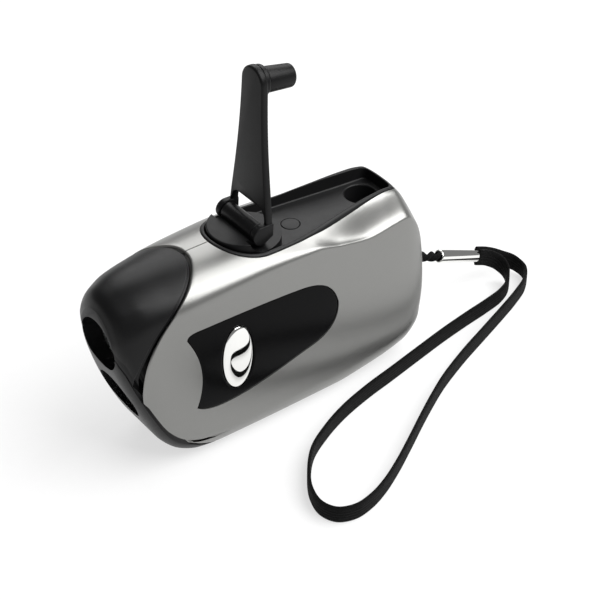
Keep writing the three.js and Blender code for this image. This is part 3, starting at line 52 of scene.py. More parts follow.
# Body
LENGTH = 111
WIDTH = 35
HEIGHT = 64
WALL = 2.1
SEAM = 0.15
NOSE_Y = -LENGTH / 2
TAIL_Y = LENGTH / 2
CORNER_REACH = 7
CORNER_RISE = 9
CORNER_SHARE = 0.45
BULGE_SHARE = 0.06
BULGE_PEAK_SHARE = 0.45
CROWN_POWER = 2.2
SCOOP_FROM_SHARE = 0.5

# Rounding between flank and crown: wide at the front, tight at the rear
CREASE_FRONT = 3.2
CREASE_REAR = 0.7
CREASE_FADE_SHARE = 0.15
CREASE_FADE_SPAN_SHARE = 0.4
CREASE_RISE_SHARE = 0.4
CREASE_LEAST = 0.2
CREASE_SIDE_SHARE = 0.5

# Front line of the cheeks, and the groove before it
CHEEK_Y = -5.8
CHEEK_Z = 33
CHEEK_REACH = 43.7
CHEEK_RISE = 34.5
SEAM_REACH = 0.3
SEAM_RISE = 0.1
GROOVE_REACH = 2.1
GROOVE_RISE = 0.1
GROOVE_DEPTH = 1.0
GROOVE_LONGEST = 2.2
GROOVE_SHORTEST = 0.05
SPIGOT = 3.5
LIP = 0.7

# Lamps: height and lens place of each
LAMP_RADIUS = 8.4
LAMPS = ((45, -49.0), (24, -42.5))
LENS_RADIUS = 9.0
LENS_THICKNESS = 0.9
LENS_DOME = 0.5

# Sides: front, rear, foot and head of the panel
PANEL = (-35.5, 17.3, 18.6, 48.6)
BUTTON_Y = -19
BUTTON_Z = 33.3
BUTTON_WIDTH = 10.6
BUTTON_HEIGHT = 22

# Crank
DISC_Y = -4.3
DISC_RADIUS = 11
DISC_FOOT = 58.3
DISC_TOP = 64.8
DISC_LEDGE = 61.5
HINGE_Y = -4.6
HINGE_Z = 65.8
BARREL_RADIUS = 2.8
BARREL_HALF = 7.2
EAR_RADIUS = 3
EAR_THICKNESS = 2.1
ARM_LENGTH = 44.7
ARM_THICKNESS = 2.4
ARM_TIP = 5
ARM_SETBACK = 2.8
ARM_FOOT = 1
ARM_LEAN = math.radians(3)
KNOB_TILT = math.radians(7)
KNOB_RADIUS = 3.8
KNOB_TIP_RADIUS = 3.45
KNOB_LENGTH = 9.6
PIN_RADIUS = 1
PIN_HALF = 9.1

# Tray
POCKET_Y = 38.9
POCKET_RADIUS = 4.9
TRAY_FLOOR = 57.7
TRAY_ROUND = 12.6
TRAY_REAR_WIDTH = 15.4
TRAY_REAR_Y = 46.6
TRAY_CORNER = 2.2

# Cross sections of the body: place along it, underside, crown, width, fall of the crown, and scoop
SECTIONS = np.array([
    [-0.500, 0.690, 0.890, 0.46, 0.400, 0],
    [-0.490, 0.600, 0.930, 0.60, 0.300, 0],
    [-0.475, 0.510, 0.955, 0.70, 0.240, 0],
    [-0.450, 0.385, 0.970, 0.785, 0.186, 0],
    [-0.420, 0.260, 0.981, 0.84, 0.138, 0],
    [-0.380, 0.125, 0.989, 0.885, 0.110, 0],
    [-0.333, 0.045, 0.994, 0.925, 0.096, 0],
    [-0.280, 0.010, 0.998, 0.96, 0.085, 0],
    [-0.210, 0, 1, 0.98, 0.078, 0],
    [-0.100, 0, 1, 0.995, 0.072, 0],
    [0, 0, 0.990, 1, 0.068, 0],
    [0.090, 0, 0.975, 1, 0.064, 0.4],
    [0.180, 0, 0.969, 0.995, 0.098, 1],
    [0.280, 0.014, 0.969, 0.975, 0.133, 1],
    [0.360, 0.030, 0.967, 0.95, 0.122, 1],
    [0.405, 0.044, 0.962, 0.925, 0.119, 0.7],
    [0.424, 0.050, 0.944, 0.91, 0.120, 0.5],
    [0.440, 0.060, 0.908, 0.89, 0.120, 0.3],
    [0.460, 0.077, 0.840, 0.85, 0.123, 0],
    [0.4775, 0.097, 0.735, 0.80, 0.134, 0],
    [0.490, 0.133, 0.610, 0.72, 0.164, 0],
    [0.500, 0.200, 0.440, 0.60, 0.270, 0],
])


def monotone(values, samples):
    """Smooth curve through values at 0, 1, 2..., without overshoot."""
    step = np.diff(values)
    slope = np.zeros(len(values))
    product = step[:-1] * step[1:]
    both = np.where(product > 0, step[:-1] + step[1:], 1)
    slope[1:-1] = np.where(product > 0, 2 * product / both, 0)
    slope[0], slope[-1] = step[0], step[-1]
    i = np.clip(samples.astype(int), 0, len(values) - 2)
    t = samples - i
    a, b, c, d = values[i], values[i + 1], slope[i], slope[i + 1]
    return (a * (2 * t**3 - 3 * t**2 + 1) + b * (3 * t**2 - 2 * t**3)
            + c * (t**3 - 2 * t**2 + t) + d * (t**3 - t**2))


ROW_SAMPLES = 1600
FINE_ROWS = np.linspace(0, len(SECTIONS) - 1, ROW_SAMPLES)
FINE = np.stack([monotone(SECTIONS[:, k], FINE_ROWS) for k in range(SECTIONS.shape[1])], axis=1)
UNDER_STEPS = 8
CORNER_STEPS = 14
SIDE_STEPS = 26
CREASE_STEPS = 6
CROWN_STEPS = 30


def section(y, inset):
    """Right half of the body's section at y, from the middle of the underside to the crown, as x and z."""
    along = np.clip(y / (LENGTH - 2 * inset), SECTIONS[0, 0], SECTIONS[-1, 0])
    low, high, wide, fall, scoop = (np.interp(along, FINE[:, 0], FINE[:, k]) for k in range(1, FINE.shape[1]))
    bottom = low * HEIGHT + inset
    crown = high * HEIGHT - inset
    half = wide * WIDTH / 2 - inset
    drop = fall * (crown - bottom)
    crease = crown - drop
    rise = min(CORNER_RISE, CORNER_SHARE * (crease - bottom))
    reach = min(CORNER_REACH, CORNER_SHARE * half)
    bulge = BULGE_SHARE * half

    def side(t):
        return half - bulge * (t - BULGE_PEAK_SHARE)**2 / BULGE_PEAK_SHARE**2

    def top(u):
        scooped = np.clip((u - SCOOP_FROM_SHARE) / (1 - SCOOP_FROM_SHARE), 0, 1)
        scooped = scooped**2 * (3 - 2 * scooped)
        return crown - drop * ((1 - scoop) * u**CROWN_POWER + scoop * scooped)

    foot = side(0)
    ahead = np.clip((CREASE_FADE_SHARE - along) / CREASE_FADE_SPAN_SHARE, 0, 1)
    soft = CREASE_REAR + (CREASE_FRONT - CREASE_REAR) * ahead
    soft = min(soft, CREASE_RISE_SHARE * rise + CREASE_LEAST)
    points = [(x, bottom) for x in np.linspace(0, foot - reach, UNDER_STEPS)]
    for a in np.linspace(0, QUARTER, CORNER_STEPS)[1:]:
        points.append((foot - reach + reach * math.sin(a), bottom + rise - rise * math.cos(a)))
    tall = crease - bottom - rise
    last = 1 - min(soft / tall, CREASE_SIDE_SHARE)
    points += [(side(t), bottom + rise + t * tall) for t in np.linspace(0, last, SIDE_STEPS)[1:]]
    edge = side(1)
    first = 1 - soft / edge
    start, corner, end = np.array(points[-1]), np.array((edge, crease)), np.array((edge * first, top(first)))
    for t in np.linspace(0, 1, CREASE_STEPS)[1:]:
        points.append(tuple((1 - t)**2 * start + 2 * t * (1 - t) * corner + t**2 * end))
    points += [(edge * u, top(u)) for u in np.linspace(first, 0, CROWN_STEPS)[1:]]
    return np.array(points)


COLUMNS = len(section(0, 0))
BISECTIONS = 26
FRONT_START = 0.2


def cheek_line(z, reach, rise):
    return CHEEK_Y - reach * math.sqrt(max(0, 1 - ((z - CHEEK_Z) / rise)**2))


def column_fronts(grow_reach, grow_rise):
    """For each point of the half section, the y where it meets the cheeks' front line, which may be grown."""
    low = np.full(COLUMNS, NOSE_Y + FRONT_START)
    high = np.zeros(COLUMNS)
    for _ in range(BISECTIONS):
        middle = (low + high) / 2
        for j in range(COLUMNS):
            z = section(middle[j], 0)[j, 1]
            behind = middle[j] > cheek_line(z, CHEEK_REACH + grow_reach, CHEEK_RISE + grow_rise)
            bound = high if behind else low
            bound[j] = middle[j]
    return (low + high) / 2


SECTION_CACHE = {}
CACHE_DIGITS = 3


def surface(j, y, inset=0):
    """Point j of the section at y, with sections kept for places that were asked for before."""
    key = (round(float(y), CACHE_DIGITS), inset)
    if key not in SECTION_CACHE:
        SECTION_CACHE[key] = section(y, inset)
    x, z = SECTION_CACHE[key][j]
    return np.array((x, y, z))


def column_ring(ys, inset=0):
    return [surface(j, ys[j], inset) for j in range(COLUMNS)]


# Mesh helpers

def round_angles(count):
    return np.linspace(0, TURN, count, endpoint=False)


def edited(obj, change):
    """The object after a change to its mesh."""
    work = bmesh.new()
    work.from_mesh(obj.data)
    change(work)
    work.to_mesh(obj.data)
    work.free()
    return obj


def make(name, verts, faces):
    mesh = bpy.data.meshes.new(name)
    mesh.from_pydata([tuple(np.array(v) * MM) for v in verts], [], faces)
    mesh.update()
    obj = bpy.data.objects.new(name, mesh)
    bpy.context.scene.collection.objects.link(obj)
    return obj


def outward(obj):
    return edited(obj, lambda work: bmesh.ops.recalc_face_normals(work, faces=work.faces))


def skin(name, rings, loop=False):
    """Rings of equal length joined into a solid, with flat ends, or the last ring joined to the first."""
    count = len(rings[0])
    last = (len(rings) - 1) * count
    verts = [p for ring in rings for p in ring]
    faces = []
    for start in range(0, last, count):
        for c in range(count):
            a, b = start + c, start + (c + 1) % count
            faces.append((a, b, b + count, a + count))
    if loop:
        faces += [(last + c, last + (c + 1) % count, (c + 1) % count, c) for c in range(count)]
    else:
        faces += [tuple(range(count)), tuple(range(last, last + count))]
    return outward(make(name, verts, faces))


def applied(obj):
    """The object with its modifiers made real."""
    graph = bpy.context.evaluated_depsgraph_get()
    mesh = bpy.data.meshes.new_from_object(obj.evaluated_get(graph))
    obj.modifiers.clear()
    old = obj.data
    obj.data = mesh
    bpy.data.meshes.remove(old)
    return obj


def combine(obj, other, how):
    modifier = obj.modifiers.new("combine", "BOOLEAN")
    modifier.operation = how
    modifier.solver = "MANIFOLD"
    modifier.object = other
    bpy.context.view_layer.update()
    applied(obj)
    bpy.data.objects.remove(other)
    return obj


def cut(obj, *others):
    for other in others:
        combine(obj, other, "DIFFERENCE")
    return obj


def join(obj, *others):
    for other in others:
        combine(obj, other, "UNION")
    return obj


def bevel(obj, width, segments=3, angle=30):
    modifier = obj.modifiers.new("bevel", "BEVEL")
    modifier.width = width * MM
    modifier.segments = segments
    modifier.limit_method = "ANGLE"
    modifier.angle_limit = math.radians(angle)
    modifier.harden_normals = False
    bpy.context.view_layer.update()
    return applied(obj)


def smooth(obj, angle=35):
    obj.data.shade_smooth()
    obj.data.set_sharp_from_angle(angle=math.radians(angle))
    return obj


def moved(obj, place, turn):
    """The object turned about the origin, then set at a place."""
    obj.data.transform(Matrix.Translation(Vector(place) * MM) @ turn)
    return obj


ORDER = {"x": (1, 2, 0), "y": (2, 0, 1), "z": (0, 1, 2)}


def placed(u, v, w, axis):
    """Point with u and v across the axis, in the order Y,Z for x; Z,X for y; X,Y for z, and w along it."""
    point = [0, 0, 0]
    for value, place in zip((u, v, w), ORDER[axis]):
        point[place] = value
    return tuple(point)


WELD = 1e-7
OUTLINE_SIDES = 96


def lathe(name, profile, axis, at=(0, 0), sides=OUTLINE_SIDES):
    """Profile of [radius, place] pairs turned round an axis; a profile end at radius 0 closes in a point."""
    rings = []
    for radius, place in profile:
        rings.append([placed(at[0] + radius * math.cos(a), at[1] + radius * math.sin(a), place, axis)
                      for a in round_angles(sides)])
    closed = profile[0] == profile[-1]
    obj = skin(name, rings[:-1], loop=True) if closed else skin(name, rings)
    return edited(obj, lambda work: bmesh.ops.remove_doubles(work, verts=work.verts, dist=WELD))


def rod(name, radius, axis, low, high, at, sides=OUTLINE_SIDES):
    return lathe(name, [(radius, low), (radius, high)], axis, at, sides)


def prism(name, outline, axis, low, high):
    rings = [[placed(u, v, w, axis) for u, v in outline] for w in (low, high)]
    return skin(name, rings)


BLOCK_FACES = [(0, 1, 3, 2), (4, 5, 7, 6), (0, 1, 5, 4), (2, 3, 7, 6), (0, 2, 6, 4), (1, 3, 7, 5)]


def block(name, low, high):
    verts = [(x, y, z) for x in (low[0], high[0]) for y in (low[1], high[1]) for z in (low[2], high[2])]
    return outward(make(name, verts, BLOCK_FACES))


def arc(centre, radius, start, end, steps):
    """Points of a rounded corner in a lathe profile, angles in degrees."""
    return [(centre[0] + radius * math.cos(math.radians(a)), centre[1] + radius * math.sin(math.radians(a)))
            for a in np.linspace(start, end, steps)]


def round_top(radius, top, rounding, steps):
    """End of a lathe profile: a rounded edge, then the flat top as far as the axis."""
    return [*arc((radius - rounding, top - rounding), rounding, 0, 90, steps), (0, top)]


def bezier(points, steps):
    points = [np.array(p, float) for p in points]
    result = []
    for t in np.linspace(0, 1, steps, endpoint=False):
        level = points
        while len(level) > 1:
            level = [(1 - t) * a + t * b for a, b in zip(level, level[1:])]
        result.append(tuple(level[0]))
    return result


def offset_loop(loop, distance):
    """Closed outline moved outwards by a distance; the outline runs either way."""
    loop = np.array(loop)
    before, after = np.roll(loop, 1, axis=0), np.roll(loop, -1, axis=0)
    area = np.sum(loop[:, 0] * after[:, 1] - after[:, 0] * loop[:, 1])
    turn = math.copysign(1, area)
    normal = np.zeros(loop.shape)
    for edge in (loop - before, after - loop):
        edge = edge / np.linalg.norm(edge, axis=1)[:, None]
        normal += np.stack([edge[:, 1], -edge[:, 0]], axis=1) * turn
    scale = np.maximum(np.sum(normal * normal, axis=1), 1)
    return loop + normal * (2 * distance / scale)[:, None]


# Materials

GRAIN_DEPTH = 0.0001
GRAIN_DETAIL = 4.0
GRAIN_BAND = (0.3, 0.7)
PATCH_SIZE = 12


def material(name, colour, roughness, metallic, extra):
    mat = bpy.data.materials.new(name)
    mat.use_nodes = True
    values = {"Base Color": (*colour, 1), "Roughness": roughness, "Metallic": metallic, **extra}
    for key, value in values.items():
        mat.node_tree.nodes["Principled BSDF"].inputs[key].default_value = value
    return mat


def add_node(tree, kind, inputs):
    """Shader node whose inputs are joined to sockets or set to values."""
    node = tree.nodes.new(kind)
    for key, value in inputs.items():
        if isinstance(value, bpy.types.NodeSocket):
            tree.links.new(value, node.inputs[key])
        else:
            node.inputs[key].default_value = value
    return node


def add_bump(tree, shader, height, strength, distance):
    bump = add_node(tree, "ShaderNodeBump", {"Strength": strength, "Distance": distance, "Height": height})
    tree.links.new(bump.outputs["Normal"], shader.inputs["Normal"])


def add_ramp(tree, shader, value, dark, light, band=(0, 1)):
    """Colours the shader from dark to light where the value runs through the band."""
    ramp = add_node(tree, "ShaderNodeValToRGB", {"Fac": value})
    for element, colour, place in zip(ramp.color_ramp.elements, (dark, light), band):
        element.color = (*colour, 1)
        element.position = place
    tree.links.new(ramp.outputs["Color"], shader.inputs["Base Color"])


def maths(tree, operation, first, second):
    """Sum node over a socket and a second socket or a number; gives its result."""
    node = add_node(tree, "ShaderNodeMath", {0: first, 1: second})
    node.operation = operation
    return node.outputs["Value"]


def grain(mat, scale, strength, colour_spread, rough_spread):
    """Fine moulded grain: a bump, and a little variation of colour and roughness at the same scale."""
    tree = mat.node_tree
    shader = tree.nodes["Principled BSDF"]
    coords = tree.nodes.new("ShaderNodeTexCoord").outputs["Object"]
    noise = add_node(tree, "ShaderNodeTexNoise", {"Scale": scale, "Detail": GRAIN_DETAIL, "Vector": coords})
    add_bump(tree, shader, noise.outputs["Fac"], strength, GRAIN_DEPTH)
    if colour_spread:
        base = np.array(shader.inputs["Base Color"].default_value[:3])
        light = np.minimum(base * (1 + colour_spread), 1)
        add_ramp(tree, shader, noise.outputs["Fac"], base * (1 - colour_spread), light, GRAIN_BAND)
    base = shader.inputs["Roughness"].default_value
    wide = add_node(tree, "ShaderNodeTexNoise", {"Scale": scale / PATCH_SIZE, "Vector": coords})
    rough = add_node(tree, "ShaderNodeMapRange", {
        "Value": wide.outputs["Fac"], "To Min": base - rough_spread, "To Max": base + rough_spread})
    tree.links.new(rough.outputs["Result"], shader.inputs["Roughness"])
    return mat


def finish(name, colour, roughness, metallic, extra, *grains):
    return grain(material(name, colour, roughness, metallic, extra), *grains)


# Each finish: its name, colour, roughness, metallic share and other inputs, then the grain's scale, its bump,
# and its spread of colour and of roughness
FINISH_TABLE = {
    "silver": ("silver_lacquer", (0.24, 0.24, 0.232), 0.34, 0.82,
               {"Coat Weight": 0.1, "Coat Roughness": 0.12}, 9000, 0.05, 0.04, 0.03),
    "black_satin": ("satin_black", (0.005, 0.005, 0.0053), 0.38, 0,
                    {"Specular IOR Level": 0.15}, 6000, 0.12, 0.12, 0.05),
    "black_front": ("satin_black_front", (0.006, 0.006, 0.0063), 0.36, 0,
                    {"Specular IOR Level": 0.17}, 6000, 0.1, 0.1, 0.05),
    "black_tray": ("satin_black_tray", (0.007, 0.007, 0.0073), 0.42, 0,
                   {"Specular IOR Level": 0.2}, 5000, 0.15, 0.12, 0.05),
    "black_gloss": ("gloss_black", (0.002, 0.002, 0.0022), 0.22, 0,
                    {"Specular IOR Level": 0.06}, 3000, 0.02, 0.1, 0.03),
    "chrome": ("plated_chrome", (0.86, 0.86, 0.84), 0.04, 1, {}, 800, 0.01, 0.01, 0.01),
    "mirror": ("vacuum_plating", (0.9, 0.9, 0.9), 0.06, 1, {}, 1500, 0.03, 0.01, 0.02),
    "steel": ("plain_steel", (0.55, 0.56, 0.57), 0.3, 1, {}, 4000, 0.08, 0.08, 0.06),
    "brass": ("plain_brass", (0.72, 0.56, 0.26), 0.32, 1, {}, 4000, 0.08, 0.08, 0.06),
    "copper": ("copper_winding", (0.66, 0.3, 0.14), 0.35, 1, {}, 2500, 0.3, 0.15, 0.06),
    "white_plastic": ("natural_acetal", (0.82, 0.81, 0.76), 0.4, 0, {}, 4000, 0.05, 0.03, 0.04),
    "green_board": ("solder_mask", (0.03, 0.2, 0.07), 0.35, 0, {}, 2500, 0.08, 0.2, 0.05),
    "magnet": ("sintered_ferrite", (0.05, 0.05, 0.055), 0.6, 0.2, {}, 5000, 0.3, 0.15, 0.08),
    "clear": ("clear_moulding", (0.96, 0.98, 0.98), 0.03, 0, {"Alpha": 0.14}, 1200, 0.005, 0, 0.01),
}
WEAVE_COLOUR = (0.008, 0.008, 0.0085)
WEAVE_DARK = (0.002, 0.002, 0.002)
WEAVE_LIGHT = (0.007, 0.007, 0.0073)
WEAVE_ROUGHNESS = 0.8
WEAVE_INPUTS = {"Sheen Weight": 0.02, "Sheen Roughness": 0.5, "Specular IOR Level": 0.1}
WEAVE_DISTORTION = 0.6
WEAVE_BUMP = 0.9
WEAVE_DEPTH = 0.00025


def woven(name):
    """Black ribbon: ribs across the width with a fainter rib along it."""
    mat = material(name, WEAVE_COLOUR, WEAVE_ROUGHNESS, 0, WEAVE_INPUTS)
    tree = mat.node_tree
    shader = tree.nodes["Principled BSDF"]
    coords = tree.nodes.new("ShaderNodeUVMap").outputs["UV"]
    waves = []
    for direction in ("X", "Y"):
        wave = add_node(tree, "ShaderNodeTexWave", {
            "Scale": 1, "Distortion": WEAVE_DISTORTION, "Detail": 1, "Vector": coords})
        wave.wave_type = "BANDS"
        wave.bands_direction = direction
        waves.append(wave.outputs["Fac"])
    product = maths(tree, "MULTIPLY", *waves)
    add_bump(tree, shader, product, WEAVE_BUMP, WEAVE_DEPTH)
    add_ramp(tree, shader, product, WEAVE_DARK, WEAVE_LIGHT)
    return mat


FINISHES = {key: finish(*row) for key, row in FINISH_TABLE.items()}
FINISHES["webbing"] = woven("woven_ribbon")


def dress(obj, look, body, slot, *replaced):
    """Gives a new piece its finish, the body that it rides on and the nodes that it stands for; the slot
    argument is not used.
    """
    obj.data.materials.clear()
    obj.data.materials.append(FINISHES[look])
    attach(obj, body)
    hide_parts(*replaced)
    return obj


# Camera, at the photograph's viewing angle
AZIMUTH = math.radians(53)
ELEVATION = math.radians(37.5)
CAMERA_AT = (0.3496, -0.2474, 0.3636)
FOCAL_LENGTH = 108
SENSOR_WIDTH = 36
CLIP_START = 0.01
back = Vector((math.sin(AZIMUTH) * math.cos(ELEVATION), -math.cos(AZIMUTH) * math.cos(ELEVATION),
               math.sin(ELEVATION)))
right = Vector((math.cos(AZIMUTH), math.sin(AZIMUTH), 0))
upward = back.cross(right)
camera_data = bpy.data.cameras.new("camera")
camera_data.lens = FOCAL_LENGTH
camera_data.sensor_width = SENSOR_WIDTH
camera_data.clip_start = CLIP_START
camera = bpy.data.objects.new("camera", camera_data)
camera.matrix_world = Matrix((*zip(right, upward, back, CAMERA_AT), (0, 0, 0, 1)))
bpy.context.scene.collection.objects.link(camera)
bpy.context.scene.camera = camera

# Strap: doubled cord, sleeve and ribbon loop. The routes are those of the solids.
CORD_ROUTE = [
    (0, 50.6, 27), (0, 54, 26.9), (0, 57.5, 26.1), (0, 62.1, 23.9), (0, 67, 21.8), (0, 71.8, 19.8)]
RIBBON_ROUTE = [
    (-1, 88.9, 12.5), (-1, 94, 10.2), (-0.4, 100, 6.6), (2.2, 104.4, 4.2), (7, 105, 3.1), (12, 100.4, 3.1),
    (15.6, 93.4, 3.1), (18.8, 85.5, 3.1), (24, 71.6, 3.1), (28.8, 58.8, 3.1), (34.5, 45.8, 3.1),
    (39.7, 36.3, 3.1), (44.6, 28.1, 3.1), (50.5, 18.6, 3.1), (55.8, 9.7, 3.1), (60, 1.5, 3.1),
    (62.4, -5.4, 3.1), (63, -11.6, 3.1), (60.8, -16.6, 3.1), (56, -18.6, 3.1), (49.6, -17.2, 3.1),
    (42.9, -13, 3.1), (36, -6.4, 3.1), (31, 2.4, 3.1), (27, 12.3, 3.1), (23.9, 24, 3.1), (21.8, 35, 3.1),
    (19, 49, 3.1), (16.6, 61.4, 3.1), (14.8, 73, 3.1), (13.6, 82, 3.1), (12, 90, 3.1), (9.2, 95.4, 3.3),
    (5.8, 97.8, 5), (2.8, 96.8, 7.8), (1.3, 93.4, 10.4), (1, 88.9, 12.5)]
CORD_DIAMETER = 3.4
CORD_TUCK = 9
CORD_TWIST = 8.5
CORD_STEPS = 90
CORD_SIDES = 40
STRAND_SHARE = 0.28
STRAND_VALLEY = 0.01
RIBBON_WIDTH = 5.8
RIBBON_THICKNESS = 1.2
RIBBON_STEPS = 420
RIBBON_SIDES = 24
RIBBON_POWER = 4
SPAN_STEPS = 16
UP = np.array((0, 0, 1.0))


def between(t, first, last, a, b):
    """Point that goes from a to b while t goes from first to last."""
    return (last - t) / (last - first) * a + (t - first) / (last - first) * b


def spline(points, steps):
    """Points at even spacing on a centripetal curve through the route, and the curve's length."""
    points = np.array(points, float)
    padded = np.vstack([2 * points[0] - points[1], points, 2 * points[-1] - points[-2]])
    fine = []
    for k in range(len(points) - 1):
        four = padded[k:k + 4]
        knots = [0]
        for a, b in zip(four, four[1:]):
            knots.append(knots[-1] + math.sqrt(np.linalg.norm(b - a)))
        for t in np.linspace(knots[1], knots[2], SPAN_STEPS, endpoint=k == len(points) - 2):
            three = [between(t, knots[i], knots[i + 1], four[i], four[i + 1]) for i in range(3)]
            two = [between(t, knots[i], knots[i + 2], three[i], three[i + 1]) for i in range(2)]
            fine.append(between(t, knots[1], knots[2], *two))
    fine = np.array(fine)
    _, length = way_along(fine)
    even = np.linspace(0, length[-1], steps + 1)
    return np.stack([np.interp(even, length, fine[:, k]) for k in range(3)], axis=1), length[-1]


def way_along(path):
    """Directions of a path, and the way travelled up to each of its points."""
    tangents = np.gradient(path, axis=0)
    tangents /= np.linalg.norm(tangents, axis=1)[:, None]
    strides = np.linalg.norm(np.diff(path, axis=0), axis=1)
    return tangents, np.concatenate([[0], np.cumsum(strides)])


def lay_weave(obj, travelled, sides, girth):
    """Texture places of the weave: along the piece and round it."""
    layer = obj.data.uv_layers.new(name="weave")
    for loop in obj.data.loops:
        ring, side = divmod(loop.vertex_index, sides)
        layer.data[loop.index].uv = (travelled[ring], side / sides * girth)
    return obj


def build_ribbon(name, path):
    """Flat band with soft edges, which stands on its edge along the path."""
    tangents, travelled = way_along(path)
    rings = []
    for point, tangent in zip(path, tangents):
        wide = UP - tangent * np.dot(UP, tangent)
        wide = wide / np.linalg.norm(wide)
        thin = np.cross(tangent, wide)
        ring = []
        for a in round_angles(RIBBON_SIDES):
            c, s = math.cos(a), math.sin(a)
            u = math.copysign(abs(c)**(2 / RIBBON_POWER), c) * RIBBON_WIDTH / 2
            v = math.copysign(abs(s)**(2 / RIBBON_POWER), s) * RIBBON_THICKNESS / 2
            ring.append(tuple(point + wide * u + thin * v))
        rings.append(ring)
    return lay_weave(skin(name, rings), travelled, RIBBON_SIDES, 2 * RIBBON_WIDTH)


def build_cord(name, path):
    """Two strands twisted round each other, as one skin."""
    tangents, travelled = way_along(path)
    strand = CORD_DIAMETER * STRAND_SHARE
    apart = CORD_DIAMETER / 2 - strand
    rings = []
    for point, tangent, at in zip(path, tangents, travelled):
        wide = np.cross(tangent, UP)
        wide /= np.linalg.norm(wide)
        high = np.cross(wide, tangent)
        ring = []
        for a in round_angles(CORD_SIDES):
            c, s = abs(math.cos(a)), abs(math.sin(a))
            reach = apart * c + math.sqrt(max(strand**2 - (apart * s)**2, STRAND_VALLEY))
            turned = a + TURN * at / CORD_TWIST
            ring.append(tuple(point + (wide * math.cos(turned) + high * math.sin(turned)) * reach))
        rings.append(ring)
    return lay_weave(skin(name, rings), travelled, CORD_SIDES, 3 * CORD_DIAMETER)


# The sleeve runs from the cord's end to the ribbon's ends, and the cord is tucked into it.
sleeve_from = np.array(CORD_ROUTE[-1])
sleeve_to = np.array((0, *RIBBON_ROUTE[0][1:]))
sleeve_length = np.linalg.norm(sleeve_to - sleeve_from)
sleeve_axis = (sleeve_to - sleeve_from) / sleeve_length
SLEEVE_BORE = 1.75
SLEEVE_LIP = 0.4
SLEEVE_LIP_RADIUS = 1.8
SLEEVE_END = 0.3
SLEEVE_SIDES = 64
SLEEVE_STEPS = 6
CORD_SMOOTH = 60
RIBBON_SMOOTH = 50

cord_path, cord_length = spline([*CORD_ROUTE, sleeve_from + sleeve_axis * CORD_TUCK], CORD_STEPS)
cord = smooth(build_cord("strap_cord_look", cord_path), CORD_SMOOTH)
ribbon_path, ribbon_length = spline(RIBBON_ROUTE, RIBBON_STEPS)
ribbon = smooth(build_ribbon("strap_loop_look", ribbon_path), RIBBON_SMOOTH)
sleeve_profile = [
    (SLEEVE_BORE, SLEEVE_END),
    *arc((SLEEVE_LIP_RADIUS, SLEEVE_END + SLEEVE_LIP), SLEEVE_LIP, -90, 0, SLEEVE_STEPS),
    *arc((SLEEVE_LIP_RADIUS, sleeve_length - SLEEVE_END - SLEEVE_LIP), SLEEVE_LIP, 0, 90, SLEEVE_STEPS),
    (SLEEVE_BORE, sleeve_length - SLEEVE_END), (SLEEVE_BORE, SLEEVE_END)]
sleeve = lathe("strap_ferrule_look", sleeve_profile, "z", sides=SLEEVE_SIDES)
turn = Vector((0, 0, 1)).rotation_difference(Vector(sleeve_axis))
smooth(moved(sleeve, sleeve_from, turn.to_matrix().to_4x4()), RIBBON_SMOOTH)
dress(cord, "webbing", "housing", "webbing", "strap_cord")
dress(ribbon, "webbing", "housing", "webbing", "strap_loop")
dress(sleeve, "chrome", "housing", "chrome", "strap_ferrule")

# Casing halves, skinned from the cheeks' rounded front edge to the tail

CASING_STEPS = 120
REAR_CROWDING = 1.8
LIP_STEPS = 7
LEAST_LENGTH = 1e-6
PROBE_INSET = 1.0
CASING_SMOOTH = 40


def half_ring(side, points):
    """Half section on one side, kept clear of the other half by the seam."""
    return [(side * max(x, SEAM), y, z) for x, y, z in points]


def half_rings(side, fronts, inset):
    """Half sections from the fronts to the tail, crowded towards the tail."""
    rings = []
    for t in np.linspace(0, 1, CASING_STEPS):
        w = 1 - (1 - t)**REAR_CROWDING
        rings.append(half_ring(side, column_ring(fronts + (TAIL_Y - inset - fronts) * w, inset)))
    return rings


def solid_half(side, inset):
    """Half of the body form as one closed solid."""
    return skin(f"half_{side}_{inset}", half_rings(side, np.full(COLUMNS, NOSE_Y + inset), inset))


def rounded_half(side):
    """Outer half form with the rounded front lip, closed by flat faces."""
    fronts = column_fronts(0, 0)
    rings = []
    for a in np.linspace(QUARTER, 0, LIP_STEPS)[:-1]:
        ring = []
        for j in range(COLUMNS):
            base = surface(j, fronts[j] + LIP)
            inward = surface(j, fronts[j] + LIP, PROBE_INSET) - base
            inward[1] = 0
            inward = inward / max(np.linalg.norm(inward), LEAST_LENGTH)
            ring.append(base + inward * LIP * (1 - math.cos(a)) - np.array((0, LIP * math.sin(a), 0)))
        rings.append(half_ring(side, ring))
    return skin(f"outer_{side}", rings + half_rings(side, fronts + LIP, 0))


# Outline of the panel as curves: the number of points, then the curve's ends and handles as shares of its box
PANEL_CURVE_SHARES = [
    (32, (0.04, 0.08), (0.13, 0.52), (0, 0.93)),
    (5, (0, 0.93), (0, 0.985), (0.06, 0.995)),
    (32, (0.06, 0.995), (0.35, 1.01), (0.62, 0.99), (0.76, 0.965)),
    (16, (0.76, 0.965), (0.88, 0.94), (0.97, 0.86), (1, 0.62)),
    (16, (1, 0.62), (1.005, 0.4), (0.93, 0.27), (0.81, 0.22)),
    (32, (0.81, 0.22), (0.62, 0.14), (0.42, 0), (0.2, 0)),
    (6, (0.2, 0), (0.09, 0), (0.04, 0.08)),
]


def panel_outline():
    front, rear, low, top = PANEL
    outline = []
    for count, *shares in PANEL_CURVE_SHARES:
        outline += bezier([(front + (rear - front) * u, low + (top - low) * v) for u, v in shares], count)
    return outline


def flank_x(y, z):
    """Half width of the outer surface at a place on the flank."""
    points = section(y, 0)
    part = points[UNDER_STEPS:len(points) - CROWN_STEPS + 1]
    return float(np.interp(z, part[:, 1], part[:, 0]))


